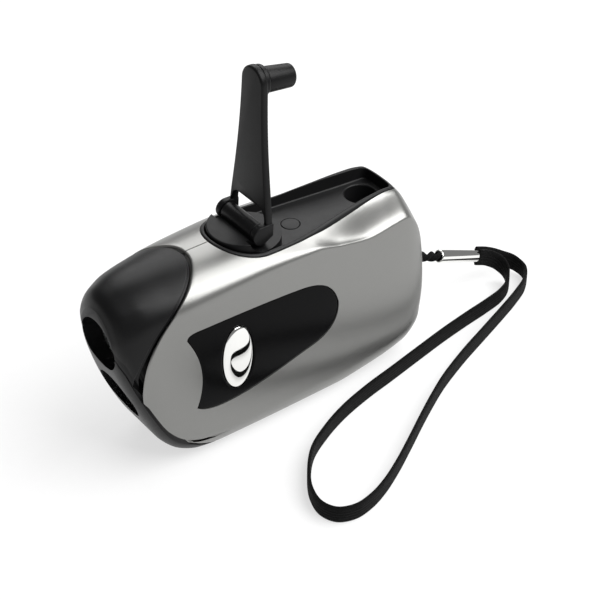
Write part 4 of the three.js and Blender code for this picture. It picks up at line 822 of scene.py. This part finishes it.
def button_outline(grow, share=1, sides=OUTLINE_SIDES):
    """The button's oval at a share of its size and then grown, as y and z."""
    return [(BUTTON_Y + (BUTTON_WIDTH / 2 * share + grow) * math.cos(a),
             BUTTON_Z + (BUTTON_HEIGHT / 2 * share + grow) * math.sin(a))
            for a in round_angles(sides)]


PLATE_SPACING = 1.6
PLATE_MARGIN = PLATE_SPACING / 2
TRIANGLE_WELD = 1e-5
KEEP_INSIDE = 1


def plate(name, side, outline, rims, hole=None):
    """Plate that follows the flank. rims lists (inset from the outline, depth under the surface) from the
    back edge to the front; the faces inside the first and the last rim are filled at their depth."""
    verts = []
    faces = []

    def ring_of(loop, depth):
        start = len(verts)
        verts.extend((side * (flank_x(y, z) - depth), y, z) for y, z in loop)
        return list(range(start, start + len(loop)))

    def walled(loop, direction):
        """Rings of one outline through all rims, joined by walls."""
        rings = [ring_of(offset_loop(loop, direction * inset), depth) for inset, depth in rims]
        for a, b in zip(rings, rings[1:]):
            for i in range(len(a)):
                k = (i + 1) % len(a)
                faces.append((a[i], a[k], b[k], b[i]))
        return rings

    def inside_ring(y, z, ring):
        inside = False
        for i in range(len(ring)):
            (_, y1, z1), (_, y2, z2) = verts[ring[i]], verts[ring[i - 1]]
            if (z1 > z) != (z2 > z) and y < (y2 - y1) * (z - z1) / (z2 - z1) + y1:
                inside = not inside
        return inside

    def on_face(y, z, rings):
        return inside_ring(y, z, rings[0]) and not any(inside_ring(y, z, ring) for ring in rings[1:])

    def fill(rings, depth):
        index = [i for ring in rings for i in ring]
        flat = [Vector((verts[i][1], verts[i][2])) for i in index]
        edges = []
        base = 0
        for ring in rings:
            edges += [(base + i, base + (i + 1) % len(ring)) for i in range(len(ring))]
            base += len(ring)
        rim = np.array([(p.x, p.y) for p in flat])
        inner = []
        for y in np.arange(rim[:, 0].min(), rim[:, 0].max(), PLATE_SPACING):
            for z in np.arange(rim[:, 1].min(), rim[:, 1].max(), PLATE_SPACING):
                away = np.min(np.hypot(rim[:, 0] - y, rim[:, 1] - z))
                if away > PLATE_MARGIN and on_face(y, z, rings):
                    inner.append(Vector((y, z)))
        result = delaunay_2d_cdt(flat + inner, edges, [], KEEP_INSIDE, TRIANGLE_WELD)
        points, triangles, origins = result[0], result[2], result[3]
        names = []
        for p, origin in zip(points, origins):
            known = [o for o in origin if o < len(flat)]
            if known:
                names.append(index[known[0]])
            else:
                names.append(len(verts))
                verts.append((side * (flank_x(p.x, p.y) - depth), p.x, p.y))
        for triangle in triangles:
            centre = sum((points[i] for i in triangle), Vector((0, 0))) / 3
            if on_face(centre.x, centre.y, rings):
                faces.append(tuple(names[i] for i in triangle))

    outlines = [walled(outline, -1)]
    if hole:
        outlines.append(walled(hole, 1))
    fill([rings[-1] for rings in outlines], rims[-1][1])
    fill([rings[0] for rings in outlines], rims[0][1])
    return outward(make(name, verts, faces))


TRAY_BULGE_SHARE = 0.3
TRAY_TAPER_SHARE = 0.7
TRAY_TAPER_WIDTH_SHARE = 1.16
TRAY_REAR_STEPS = 14
TRAY_CORNER_STEPS = 10
TRAY_FLANK_STEPS = 48


def tray_outline(inset):
    radius = TRAY_ROUND - inset
    rear_half = TRAY_REAR_WIDTH / 2 - inset
    straight = rear_half - TRAY_CORNER
    rear = TRAY_REAR_Y - inset
    corner = rear - TRAY_CORNER
    bulge = DISC_Y + (corner - DISC_Y) * TRAY_BULGE_SHARE
    taper = DISC_Y + (corner - DISC_Y) * TRAY_TAPER_SHARE
    taper_half = rear_half * TRAY_TAPER_WIDTH_SHARE
    flank = [(rear_half, corner), (taper_half, taper), (radius, bulge), (radius, DISC_Y)]
    turned = [(straight, rear), (rear_half, rear), (rear_half, corner)]
    points = [(x, rear) for x in np.linspace(-straight, straight, TRAY_REAR_STEPS, endpoint=False)]
    points += bezier(turned, TRAY_CORNER_STEPS)
    points += bezier(flank, TRAY_FLANK_STEPS)
    points += [(radius * math.cos(a), DISC_Y + radius * math.sin(a))
               for a in np.linspace(0, -math.pi, OUTLINE_SIDES, endpoint=False)]
    points += bezier([(-x, y) for x, y in flank[::-1]], TRAY_FLANK_STEPS)
    points += bezier([(-x, y) for x, y in turned[::-1]], TRAY_CORNER_STEPS)
    return points


def crown_z(x, y):
    points = section(y, 0)
    part = points[len(points) - CROWN_STEPS:]
    return float(np.interp(abs(x), part[::-1, 0], part[::-1, 1]))


# Cuts and bosses of the casing; a span is from and to along the cut
TRAY_CUT = (40, 90)
PANEL_FIT = 0.12
RECESS_DEPTH = 1.1
RECESS_PROUD = 3
BUTTON_HOLE_FIT = 0.2
BUTTON_CUT = (5, 25)
BOSS_INSET = 0.6
BOSS_RADIUS = 3.8
BOSS_SPAN = (-18, -0.4)
WELL_RADIUS = 2.7
WELL_SPAN = (-25, -8)
SCREW_WAY_RADIUS = 1.9
SCREW_WAY_SPAN = (-9, 1)
SCREW_PLACES = ((-24, 8.6), (15, 7), (44, 9.2))
STRAP_HOLE = ((-2.5, 45, 24.5), (2.5, 60, 29.5))


def build_casing(side):
    """One half shell: open for tray, panel and strap; button hole on the right, screw wells on the left."""
    name = "casing_right" if side > 0 else "casing_left"
    shell = cut(rounded_half(side), solid_half(side, WALL))
    cut(shell, prism("tray_hole", tray_outline(-SEAM), "z", *TRAY_CUT),
        plate("recess", side, panel_outline(), [(-PANEL_FIT, RECESS_DEPTH), (-PANEL_FIT, -RECESS_PROUD)]))
    if side > 0:
        cut(shell, prism("button_hole", button_outline(BUTTON_HOLE_FIT), "x", *BUTTON_CUT))
    else:
        for place in SCREW_PLACES:
            boss = rod("boss", BOSS_RADIUS, "x", *BOSS_SPAN, place)
            join(shell, combine(boss, solid_half(side, BOSS_INSET), "INTERSECT"))
        for place in SCREW_PLACES:
            cut(shell, rod("well", WELL_RADIUS, "x", *WELL_SPAN, place),
                rod("screw_way", SCREW_WAY_RADIUS, "x", *SCREW_WAY_SPAN, place))
    cut(shell, block("strap_hole", *STRAP_HOLE))
    shell.name = f"{name}_look"
    smooth(shell, CASING_SMOOTH)
    return dress(shell, "silver", "housing", "silver", name)


build_casing(1)
build_casing(-1)

# Side panels: each rim is an inset and a depth
PANEL_RIMS = [(0, 1.0), (0, 0.5), (0.06, 0.36), (0.18, 0.26), (0.36, 0.21), (0.6, 0.2)]
BUTTON_FRAME_FIT = 0.25
for side, place, hole in ((1, "right", button_outline(BUTTON_FRAME_FIT)), (-1, "left", None)):
    panel = plate(f"side_panel_{place}_look", side, panel_outline(), PANEL_RIMS, hole)
    dress(smooth(panel, CASING_SMOOTH), "black_gloss", "housing", "black_gloss", f"side_panel_{place}")


# Button: a chrome dome on a flange. The profile lists how far a ring is grown, its share and its x.
BUTTON_TOP = 18.2
BUTTON_DOME = 1.6
BUTTON_BACK = 13.4
BUTTON_FLANGE = 14.6
BUTTON_FLANGE_REACH = 1.2
BUTTON_EDGE = 16.5
BUTTON_BEVEL_X = 16.7
BUTTON_BEVEL_SHARE = 0.995
BUTTON_SIDES = 128
DOME_STEPS = 22
DOME_FROM = 0.12
DOME_TO_SHARE = 0.985
BUTTON_PROFILE = [
    (BUTTON_FLANGE_REACH, 1, BUTTON_BACK), (BUTTON_FLANGE_REACH, 1, BUTTON_FLANGE), (0, 1, BUTTON_FLANGE),
    (0, 1, BUTTON_EDGE), (0, BUTTON_BEVEL_SHARE, BUTTON_BEVEL_X),
    *[(0, math.cos(a), BUTTON_TOP - BUTTON_DOME + BUTTON_DOME * math.sin(a))
      for a in np.linspace(DOME_FROM, QUARTER * DOME_TO_SHARE, DOME_STEPS)]]
button = skin("switch_button_look", [
    [(x, y, z) for y, z in button_outline(grow, share, BUTTON_SIDES)] for grow, share, x in BUTTON_PROFILE])
dress(smooth(button, CASING_SMOOTH), "chrome", "button", "chrome", "switch_button")


# Front bezel
NOSE_CROWDING = 1.7
NOSE_STEPS = 90
INSIDE_STEPS = 50
CORE_STEPS = 60
EDGE_ROUND = 0.4
EDGE_STEPS = 6
STEP = 0.02
GROOVE_FLOOR = 0.1
BEZEL_WALL = 1.5
TUBE_RADIUS = 10.6
TUBE_FRONT_Y = -50
TUBE_DEPTH = 11.7
TUBE_LEAD = 6
TUBE_BOX_HALF = 20
MOUTH_FRONT_Y = -70
MOUTH_SIDES = 128
SEAT_RADIUS = 9.3
SEAT_DEPTH = 20


def full_ring(points):
    """Whole ring from the points of the right half."""
    left = [(-x, y, z) for x, y, z in points[-2:0:-1]]
    return [tuple(p) for p in points] + left


def nose_rings(starts, ends, inset, steps):
    """Whole sections between two sets of column places, crowded towards the nose."""
    return [full_ring(column_ring(starts + (ends - starts) * t**NOSE_CROWDING, inset)) for t in steps]


def build_bezel():
    seam = column_fronts(SEAM_REACH, SEAM_RISE)
    edge = column_fronts(GROOVE_REACH, GROOVE_RISE)
    edge = np.clip(edge, seam - GROOVE_LONGEST, seam - GROOVE_SHORTEST)
    round_start = edge - EDGE_ROUND
    groove_rear = np.maximum(seam, edge + GROOVE_FLOOR)
    spigot_inset = WALL + FIT
    inner_inset = WALL + BEZEL_WALL
    rings = nose_rings(np.full(COLUMNS, NOSE_Y), round_start, 0, np.linspace(0, 1, NOSE_STEPS))
    for ys, inset in [
            *[(round_start + EDGE_ROUND * np.sin(a), EDGE_ROUND * (1 - math.cos(a)))
              for a in np.linspace(0, QUARTER, EDGE_STEPS)[1:]],
            (edge + STEP, GROOVE_DEPTH), (groove_rear, GROOVE_DEPTH), (groove_rear + STEP, spigot_inset),
            (seam + SPIGOT, spigot_inset), (seam + SPIGOT, inner_inset)]:
        rings.append(full_ring(column_ring(ys, inset)))
    rings += nose_rings(np.full(COLUMNS, NOSE_Y + inner_inset), seam + SPIGOT, inner_inset,
                        np.linspace(1, 0, INSIDE_STEPS)[1:])
    body = skin("front_bezel_look", rings)
    for z, lens in LAMPS:
        tube = rod("tube", TUBE_RADIUS, "y", TUBE_FRONT_Y, lens + TUBE_DEPTH, (z, 0))
        keep = block("keep", (-TUBE_BOX_HALF, lens - TUBE_LEAD, 0), (TUBE_BOX_HALF, 0, HEIGHT))
        combine(tube, keep, "INTERSECT")
        core = nose_rings(np.full(COLUMNS, NOSE_Y + GROOVE_DEPTH), np.zeros(COLUMNS), GROOVE_DEPTH,
                          np.linspace(0, 1, CORE_STEPS))
        join(body, combine(tube, skin("core", core), "INTERSECT"))
    for z, lens in LAMPS:
        cut(body, rod("mouth", LAMP_RADIUS, "y", MOUTH_FRONT_Y, lens + TUBE_LEAD, (z, 0), MOUTH_SIDES),
            rod("seat", SEAT_RADIUS, "y", lens - FIT, lens + SEAT_DEPTH, (z, 0), MOUTH_SIDES))
    smooth(body, CASING_SMOOTH)
    return dress(body, "black_front", "housing", "black_satin", "front_bezel")


build_bezel()

# Lenses and reflectors
LENS_STEPS = 12
LENS_FROM = 0.1
LENS_SMOOTH = 30
CUP_MOUTH = 8.2
CUP_THROAT = 2.8
CUP_SETBACK = 1.2
CUP_DEPTH = 10.5
CUP_WALL = 0.8
CUP_STEPS = 24
CUP_FACETS = 24
CUP_SMOOTH = 12


def lens_profile(y):
    return [
        (0, y - LENS_DOME),
        *[(CUP_MOUTH * math.sin(a), y - LENS_DOME * math.cos(a))
          for a in np.linspace(LENS_FROM, QUARTER, LENS_STEPS)],
        (LENS_RADIUS, y), (LENS_RADIUS, y + LENS_THICKNESS), (0, y + LENS_THICKNESS)]


def cup_profile(y):
    """Inside of a parabolic cup from mouth to throat, and its outside back to the mouth."""
    throat = (CUP_THROAT / CUP_MOUTH)**2
    inside = []
    for t in np.linspace(0, 1, CUP_STEPS):
        radius = CUP_MOUTH + (CUP_THROAT - CUP_MOUTH) * t
        deep = 1 - ((radius / CUP_MOUTH)**2 - throat) / (1 - throat)
        inside.append((radius, y + CUP_SETBACK + CUP_DEPTH * deep))
    outside = [(min(radius + CUP_WALL, LENS_RADIUS), place) for radius, place in inside][::-1]
    return [*inside, *outside, inside[0]]


for (z, y), place in zip(LAMPS, ("upper", "lower")):
    lens = smooth(lathe(f"lens_{place}_look", lens_profile(y), "y", (z, 0)), LENS_SMOOTH)
    dress(lens, "clear", "housing", "clear", f"lens_{place}")
    cup = smooth(lathe(f"reflector_{place}_look", cup_profile(y), "y", (z, 0), CUP_FACETS), CUP_SMOOTH)
    dress(cup, "mirror", "housing", "mirror", f"reflector_{place}")

# Tray
TRAY_BOTTOM = 56.1
TRAY_PROUD = 0.3
TRAY_WALL = 1.2
RIM_DROP = 0.55
RIM_ROUND = 0.5
RIM_FLAT = 0.75
RIM_LEAD = 0.45
FLOOR_ROUND = 0.5
ROUND_STEPS = 5
POCKET_WALL_SPAN = (49.1, 56.5)
POCKET_FLOOR = 50.3
POCKET_LIP = 57.2
POCKET_ROUND = 0.7
POCKET_LIP_ROUND = 0.5
HUB_HOLE_RADIUS = 5.5
CUT_LOW = 40
CUT_HIGH = 60
PLUG_Y = 12.5
PLUG_SEAT_RADIUS = 3.0
PLUG_SEAT = 56.8
PLUG_RADIUS = 2.8
PLUG_FOOT = 56.9
PLUG_TOP = 57.8
PLUG_ROUND = 0.2
PLUG_SIDES = 64


def build_tray():
    rings = []

    def add(inset, drop, level=None):
        rings.append([(x, y, crown_z(x, y) + TRAY_PROUD - drop if level is None else level)
                      for x, y in tray_outline(inset)])

    angles = np.linspace(0, QUARTER, ROUND_STEPS)[1:]
    add(0, 0, TRAY_BOTTOM)
    add(0, RIM_DROP)
    for a in angles:
        add(RIM_ROUND * (1 - math.cos(a)), RIM_ROUND * (1 - math.sin(a)))
    add(RIM_FLAT, 0)
    for a in angles:
        add(RIM_FLAT + RIM_LEAD * math.sin(a), RIM_LEAD * (1 - math.cos(a)))
    add(TRAY_WALL, 0, TRAY_FLOOR + FLOOR_ROUND)
    for a in angles:
        add(TRAY_WALL + FLOOR_ROUND * (1 - math.cos(a)), 0, TRAY_FLOOR + FLOOR_ROUND * (1 - math.sin(a)))
    tray = skin("crank_tray_look", rings)
    join(tray, rod("pocket_wall", POCKET_RADIUS + TRAY_WALL, "z", *POCKET_WALL_SPAN, (0, POCKET_Y)))
    low, edge = POCKET_RADIUS - POCKET_ROUND, POCKET_RADIUS + POCKET_LIP_ROUND
    pocket = lathe("pocket", [
        (0, POCKET_FLOOR), (low, POCKET_FLOOR),
        *arc((low, POCKET_FLOOR + POCKET_ROUND), POCKET_ROUND, -90, 0, ROUND_STEPS),
        (POCKET_RADIUS, POCKET_LIP), *arc((edge, POCKET_LIP), POCKET_LIP_ROUND, 180, 90, ROUND_STEPS),
        (edge, CUT_HIGH), (0, CUT_HIGH)],
        "z", (0, POCKET_Y))
    cut(tray, pocket, rod("hub_hole", HUB_HOLE_RADIUS, "z", CUT_LOW, CUT_HIGH, (0, DISC_Y)),
        rod("plug_seat", PLUG_SEAT_RADIUS, "z", PLUG_SEAT, CUT_HIGH, (0, PLUG_Y)))
    smooth(tray)
    return dress(tray, "black_tray", "housing", "black_satin", "crank_tray")


build_tray()
plug = lathe("tray_plug_look", [
    (0, PLUG_FOOT), (PLUG_RADIUS, PLUG_FOOT), *round_top(PLUG_RADIUS, PLUG_TOP, PLUG_ROUND, ROUND_STEPS)],
    "z", (0, PLUG_Y), PLUG_SIDES)
dress(smooth(plug), "black_tray", "housing", "black_satin", "tray_plug")

# Crank disc and hinge barrel
DISC_ROUND = 0.5
DISC_SIDES = 128
CLEAR_X = 20
CLEAR_Y = 20
CLEAR_Z = 80
WEB_FOOT = 60
BARREL_SIDES = 64
BARREL_BEVEL = 0.25
HUB_RADIUS = 3.7
HUB_SPAN = (52.0, 58.6)
NOTCH_LAP = 0.1
PIN_CUT_HALF = 30
PIN_HOLE_SIDES = 32
CURVE_STEPS = 6


def build_disc():
    disc = lathe("crank_disc_look", [
        (0, DISC_FOOT), (DISC_RADIUS, DISC_FOOT),
        *round_top(DISC_RADIUS, DISC_TOP, DISC_ROUND, CURVE_STEPS)],
        "z", (0, DISC_Y), DISC_SIDES)
    ledge = HINGE_Y + BARREL_RADIUS
    cut(disc, block("step", (-CLEAR_X, ledge, DISC_LEDGE), (CLEAR_X, CLEAR_Y, CLEAR_Z)))
    web = block("web", (-BARREL_HALF, HINGE_Y - BARREL_RADIUS, WEB_FOOT), (BARREL_HALF, ledge, HINGE_Z))
    barrel = rod("barrel", BARREL_RADIUS, "x", -BARREL_HALF, BARREL_HALF, (HINGE_Y, HINGE_Z), BARREL_SIDES)
    bevel(barrel, BARREL_BEVEL)
    clear_of_ear = math.hypot(ARM_SETBACK + ARM_THICKNESS / 2, ARM_FOOT) + FIT
    for side in (1, -1):
        low, high = sorted((side * BARREL_HALF, side * CLEAR_X))
        cut(disc, rod("notch", clear_of_ear, "x", low, high, (HINGE_Y, HINGE_Z), BARREL_SIDES),
            block("notch_rear", (low, HINGE_Y, DISC_LEDGE), (high, ledge + NOTCH_LAP, CLEAR_Z)))
    join(disc, web, barrel, rod("hub", HUB_RADIUS, "z", *HUB_SPAN, (0, DISC_Y), BARREL_SIDES))
    cut(disc, rod("pin_hole", PIN_RADIUS + FIT, "x", -PIN_CUT_HALF, PIN_CUT_HALF, (HINGE_Y, HINGE_Z),
                  PIN_HOLE_SIDES))
    smooth(disc)
    return dress(disc, "black_satin", "crank", "black_satin", "crank_disc")


build_disc()


# Arm and knob, drawn upright about the hinge and leant back
EAR_HALF = BARREL_HALF + FIT + EAR_THICKNESS
EAR_SIDES = 48
EAR_BEVEL = 0.3
EAR_BEVEL_ANGLE = 40
ARM_FRONT = ARM_SETBACK - ARM_THICKNESS / 2
ARM_BACK = ARM_SETBACK + ARM_THICKNESS / 2
ARM_BEVEL = 0.7
ARM_BEVEL_STEPS = 4
ARM_BEVEL_ANGLE = 50
ARM_SIDE_STEPS = 40
ARM_SMOOTH = 40
FLARE_SHARES = (0.2, 0.93)
TAPER_SHARES = (0.5, 1.1)
WINDOW_SHOULDER = 3.4
WINDOW_TOP = 6.8
WINDOW_TOP_HALF = 4.4
WINDOW_CORNER_STEPS = 12
WINDOW_TOP_STEPS = 8
BOSS_SINK = 0.5
BOSS_TOP = 1.1
BOSS_ROUND = 0.6
BOSS_STEP = 0.1
BOSS_MARGIN = 0.3
HULL_FLAT = 0.01


def lean(obj):
    return moved(obj, (0, HINGE_Y, HINGE_Z), Matrix.Rotation(-ARM_LEAN, 4, "X"))


def seat_knob(obj):
    return moved(obj, (0, ARM_BACK, ARM_LENGTH), Matrix.Rotation(-KNOB_TILT, 4, "X"))


def arm_outline():
    """Outline of the forked blade as height and width, round the tip and down into the window."""
    window = BARREL_HALF + FIT
    flare = (ARM_LENGTH * FLARE_SHARES[0], EAR_HALF * FLARE_SHARES[1])
    taper = (ARM_LENGTH * TAPER_SHARES[0], ARM_TIP * TAPER_SHARES[1])
    right_side = bezier([(-ARM_FOOT, EAR_HALF), flare, taper, (ARM_LENGTH, ARM_TIP)], ARM_SIDE_STEPS)
    tip = [(ARM_LENGTH + ARM_TIP * math.sin(a), ARM_TIP * math.cos(a))
           for a in np.linspace(0, math.pi, ARM_SIDE_STEPS)]
    left_side = [(z, -x) for z, x in right_side[::-1]]
    shoulder, top, half_top = WINDOW_SHOULDER, WINDOW_TOP, WINDOW_TOP_HALF
    inner = [
        (-ARM_FOOT, -window),
        *bezier([(shoulder, -window), (top, -window), (top, -half_top)], WINDOW_CORNER_STEPS),
        *bezier([(top, -half_top), (top, half_top)], WINDOW_TOP_STEPS),
        *bezier([(top, half_top), (top, window), (shoulder, window)], WINDOW_CORNER_STEPS),
        (shoulder, window), (-ARM_FOOT, window)]
    return [*right_side, *tip, *left_side, *inner]


def hull(name, points):
    work = bmesh.new()
    for point in points:
        work.verts.new(Vector(point) * MM)
    bmesh.ops.convex_hull(work, input=work.verts)
    bmesh.ops.dissolve_limit(work, angle_limit=HULL_FLAT, verts=work.verts, edges=work.edges)
    obj = make(name, [], [])
    work.to_mesh(obj.data)
    work.free()
    return outward(obj)


def build_arm():
    """Forked blade with an ear on each side of the barrel and a boss for the knob."""
    blade = prism("crank_arm_look", arm_outline(), "y", ARM_FRONT, ARM_BACK)
    bevel(blade, ARM_BEVEL, ARM_BEVEL_STEPS, ARM_BEVEL_ANGLE)
    ear = [(EAR_RADIUS * math.cos(a), EAR_RADIUS * math.sin(a))
           for a in round_angles(EAR_SIDES)]
    ear += [(y, z) for y in (ARM_FRONT, ARM_BACK) for z in (-ARM_FOOT, EAR_RADIUS)]
    for side in (1, -1):
        corners = [(side * x, y, z) for x in (EAR_HALF - EAR_THICKNESS, EAR_HALF) for y, z in ear]
        join(blade, bevel(hull("ear", corners), EAR_BEVEL, angle=EAR_BEVEL_ANGLE))
    edge = ARM_TIP - BOSS_MARGIN
    boss = lathe("boss", [
        (0, -BOSS_SINK), (edge, -BOSS_SINK), (edge, BOSS_TOP - BOSS_ROUND - BOSS_STEP),
        *round_top(edge, BOSS_TOP, BOSS_ROUND, CURVE_STEPS)],
        "y")
    join(blade, seat_knob(boss))
    cut(blade, rod("pin_hole", PIN_RADIUS + FIT, "x", -PIN_HALF, PIN_HALF, (0, 0), PIN_HOLE_SIDES))
    lean(smooth(blade, ARM_SMOOTH))
    return dress(blade, "black_satin", "arm", "black_satin", "crank_arm")


build_arm()

# Hinge pin, with rounded ends
PIN_ROUND = 0.2
PIN_STEPS = 4
PIN_SIDES = 48
pin_end = PIN_HALF - PIN_ROUND
pin = lathe("hinge_pin_look", [
    (0, -pin_end), *arc((PIN_RADIUS - PIN_ROUND, PIN_ROUND - pin_end), PIN_ROUND, -90, 0, PIN_STEPS),
    *round_top(PIN_RADIUS, pin_end, PIN_ROUND, PIN_STEPS)],
    "x", (HINGE_Y, HINGE_Z), PIN_SIDES)
dress(smooth(pin, ARM_SMOOTH), "steel", "crank", "steel", "hinge_pin")

# Knob, hollow for its pin and the pin's head
KNOB_EDGE = 0.4
KNOB_NOSE = 0.7
KNOB_NOSE_STEPS = 7
KNOB_BORE = 1.5
KNOB_HEAD_BORE = 1.9
KNOB_HEAD = 7.5
KNOB_CONE = 5.5
knob_face = BOSS_TOP + FIT
knob = lathe("crank_knob_look", [
    (KNOB_BORE, knob_face), (KNOB_RADIUS - KNOB_EDGE, knob_face),
    *arc((KNOB_RADIUS - KNOB_EDGE, knob_face + KNOB_EDGE), KNOB_EDGE, -90, 0, ROUND_STEPS),
    *round_top(KNOB_TIP_RADIUS, knob_face + KNOB_LENGTH, KNOB_NOSE, KNOB_NOSE_STEPS),
    (0, knob_face + KNOB_HEAD), (KNOB_HEAD_BORE, knob_face + KNOB_HEAD),
    (KNOB_BORE, knob_face + KNOB_CONE), (KNOB_BORE, knob_face)], "y")
dress(lean(seat_knob(smooth(knob))), "black_satin", "knob", "black_satin", "crank_knob")

# Carried-over solids
slots = {part["node"]: part["material_slot"] for part in frame["record"]["subparts"]}
for name, obj in nodes.items():
    for place in obj.material_slots:
        place.material = FINISHES[slots[name]]

# Floor, lights and world
FLOOR_HALF = 3000
FLOOR_COLOUR = (0.85, 0.85, 0.85)
FLOOR_ROUGHNESS = 0.7
FLOOR_GRAIN = (300, 0.01, 0.01, 0.01)
SHADOW_SHARE = 0.35
WORLD_STRENGTH = 0.22


def white_floor():
    """Pale floor; seen directly or in metal and glass it is near white, with part of the shadow kept."""
    mat = finish("floor", FLOOR_COLOUR, FLOOR_ROUGHNESS, 0, {}, *FLOOR_GRAIN)
    tree = mat.node_tree
    shader = tree.nodes["Principled BSDF"]
    glow = add_node(tree, "ShaderNodeEmission", {"Strength": 1.0})
    path = tree.nodes.new("ShaderNodeLightPath").outputs
    seen = maths(tree, "MAXIMUM", path["Is Camera Ray"], path["Is Glossy Ray"])
    seen = maths(tree, "MAXIMUM", seen, path["Is Transmission Ray"])
    mix = add_node(tree, "ShaderNodeMixShader", {
        "Fac": maths(tree, "MULTIPLY", seen, 1 - SHADOW_SHARE),
        1: shader.outputs["BSDF"], 2: glow.outputs["Emission"]})
    tree.links.new(mix.outputs["Shader"], tree.nodes["Material Output"].inputs["Surface"])
    return mat


floor_corners = [(x * FLOOR_HALF, y * FLOOR_HALF, 0) for x, y in ((-1, -1), (1, -1), (1, 1), (-1, 1))]
floor = make("floor", floor_corners, [(0, 1, 2, 3)])
floor.data.materials.append(white_floor())

world = bpy.data.worlds.new("studio")
bpy.context.scene.world = world
world.use_nodes = True
world.node_tree.nodes["Background"].inputs["Color"].default_value = (1, 1, 1, 1)
world.node_tree.nodes["Background"].inputs["Strength"].default_value = WORLD_STRENGTH


def softbox(name, location, size, radiance):
    """Rectangular lamp that faces the part; its power follows from how bright its face is."""
    data = bpy.data.lights.new(name, "AREA")
    data.shape = "RECTANGLE"
    data.size, data.size_y = size
    data.energy = radiance * math.pi * size[0] * size[1]
    light = bpy.data.objects.new(name, data)
    light.location = location
    light.rotation_euler = (Vector(LAMP_TARGET) - Vector(location)).to_track_quat("-Z", "Y").to_euler()
    bpy.context.scene.collection.objects.link(light)


# Each softbox: place and size in metres, and brightness
LAMP_TARGET = (0, 0, 0.04)
SOFTBOXES = {
    "rear_softbox": ((-0.68, 0.52, 0.7), (0.9, 0.7), 3.0),
    "top_softbox": ((0.48, 0.46, 1.0), (1.2, 1.0), 6.2),
}
for name, lamp in SOFTBOXES.items():
    softbox(name, *lamp)
bpy.context.scene.view_settings.view_transform = "Standard"
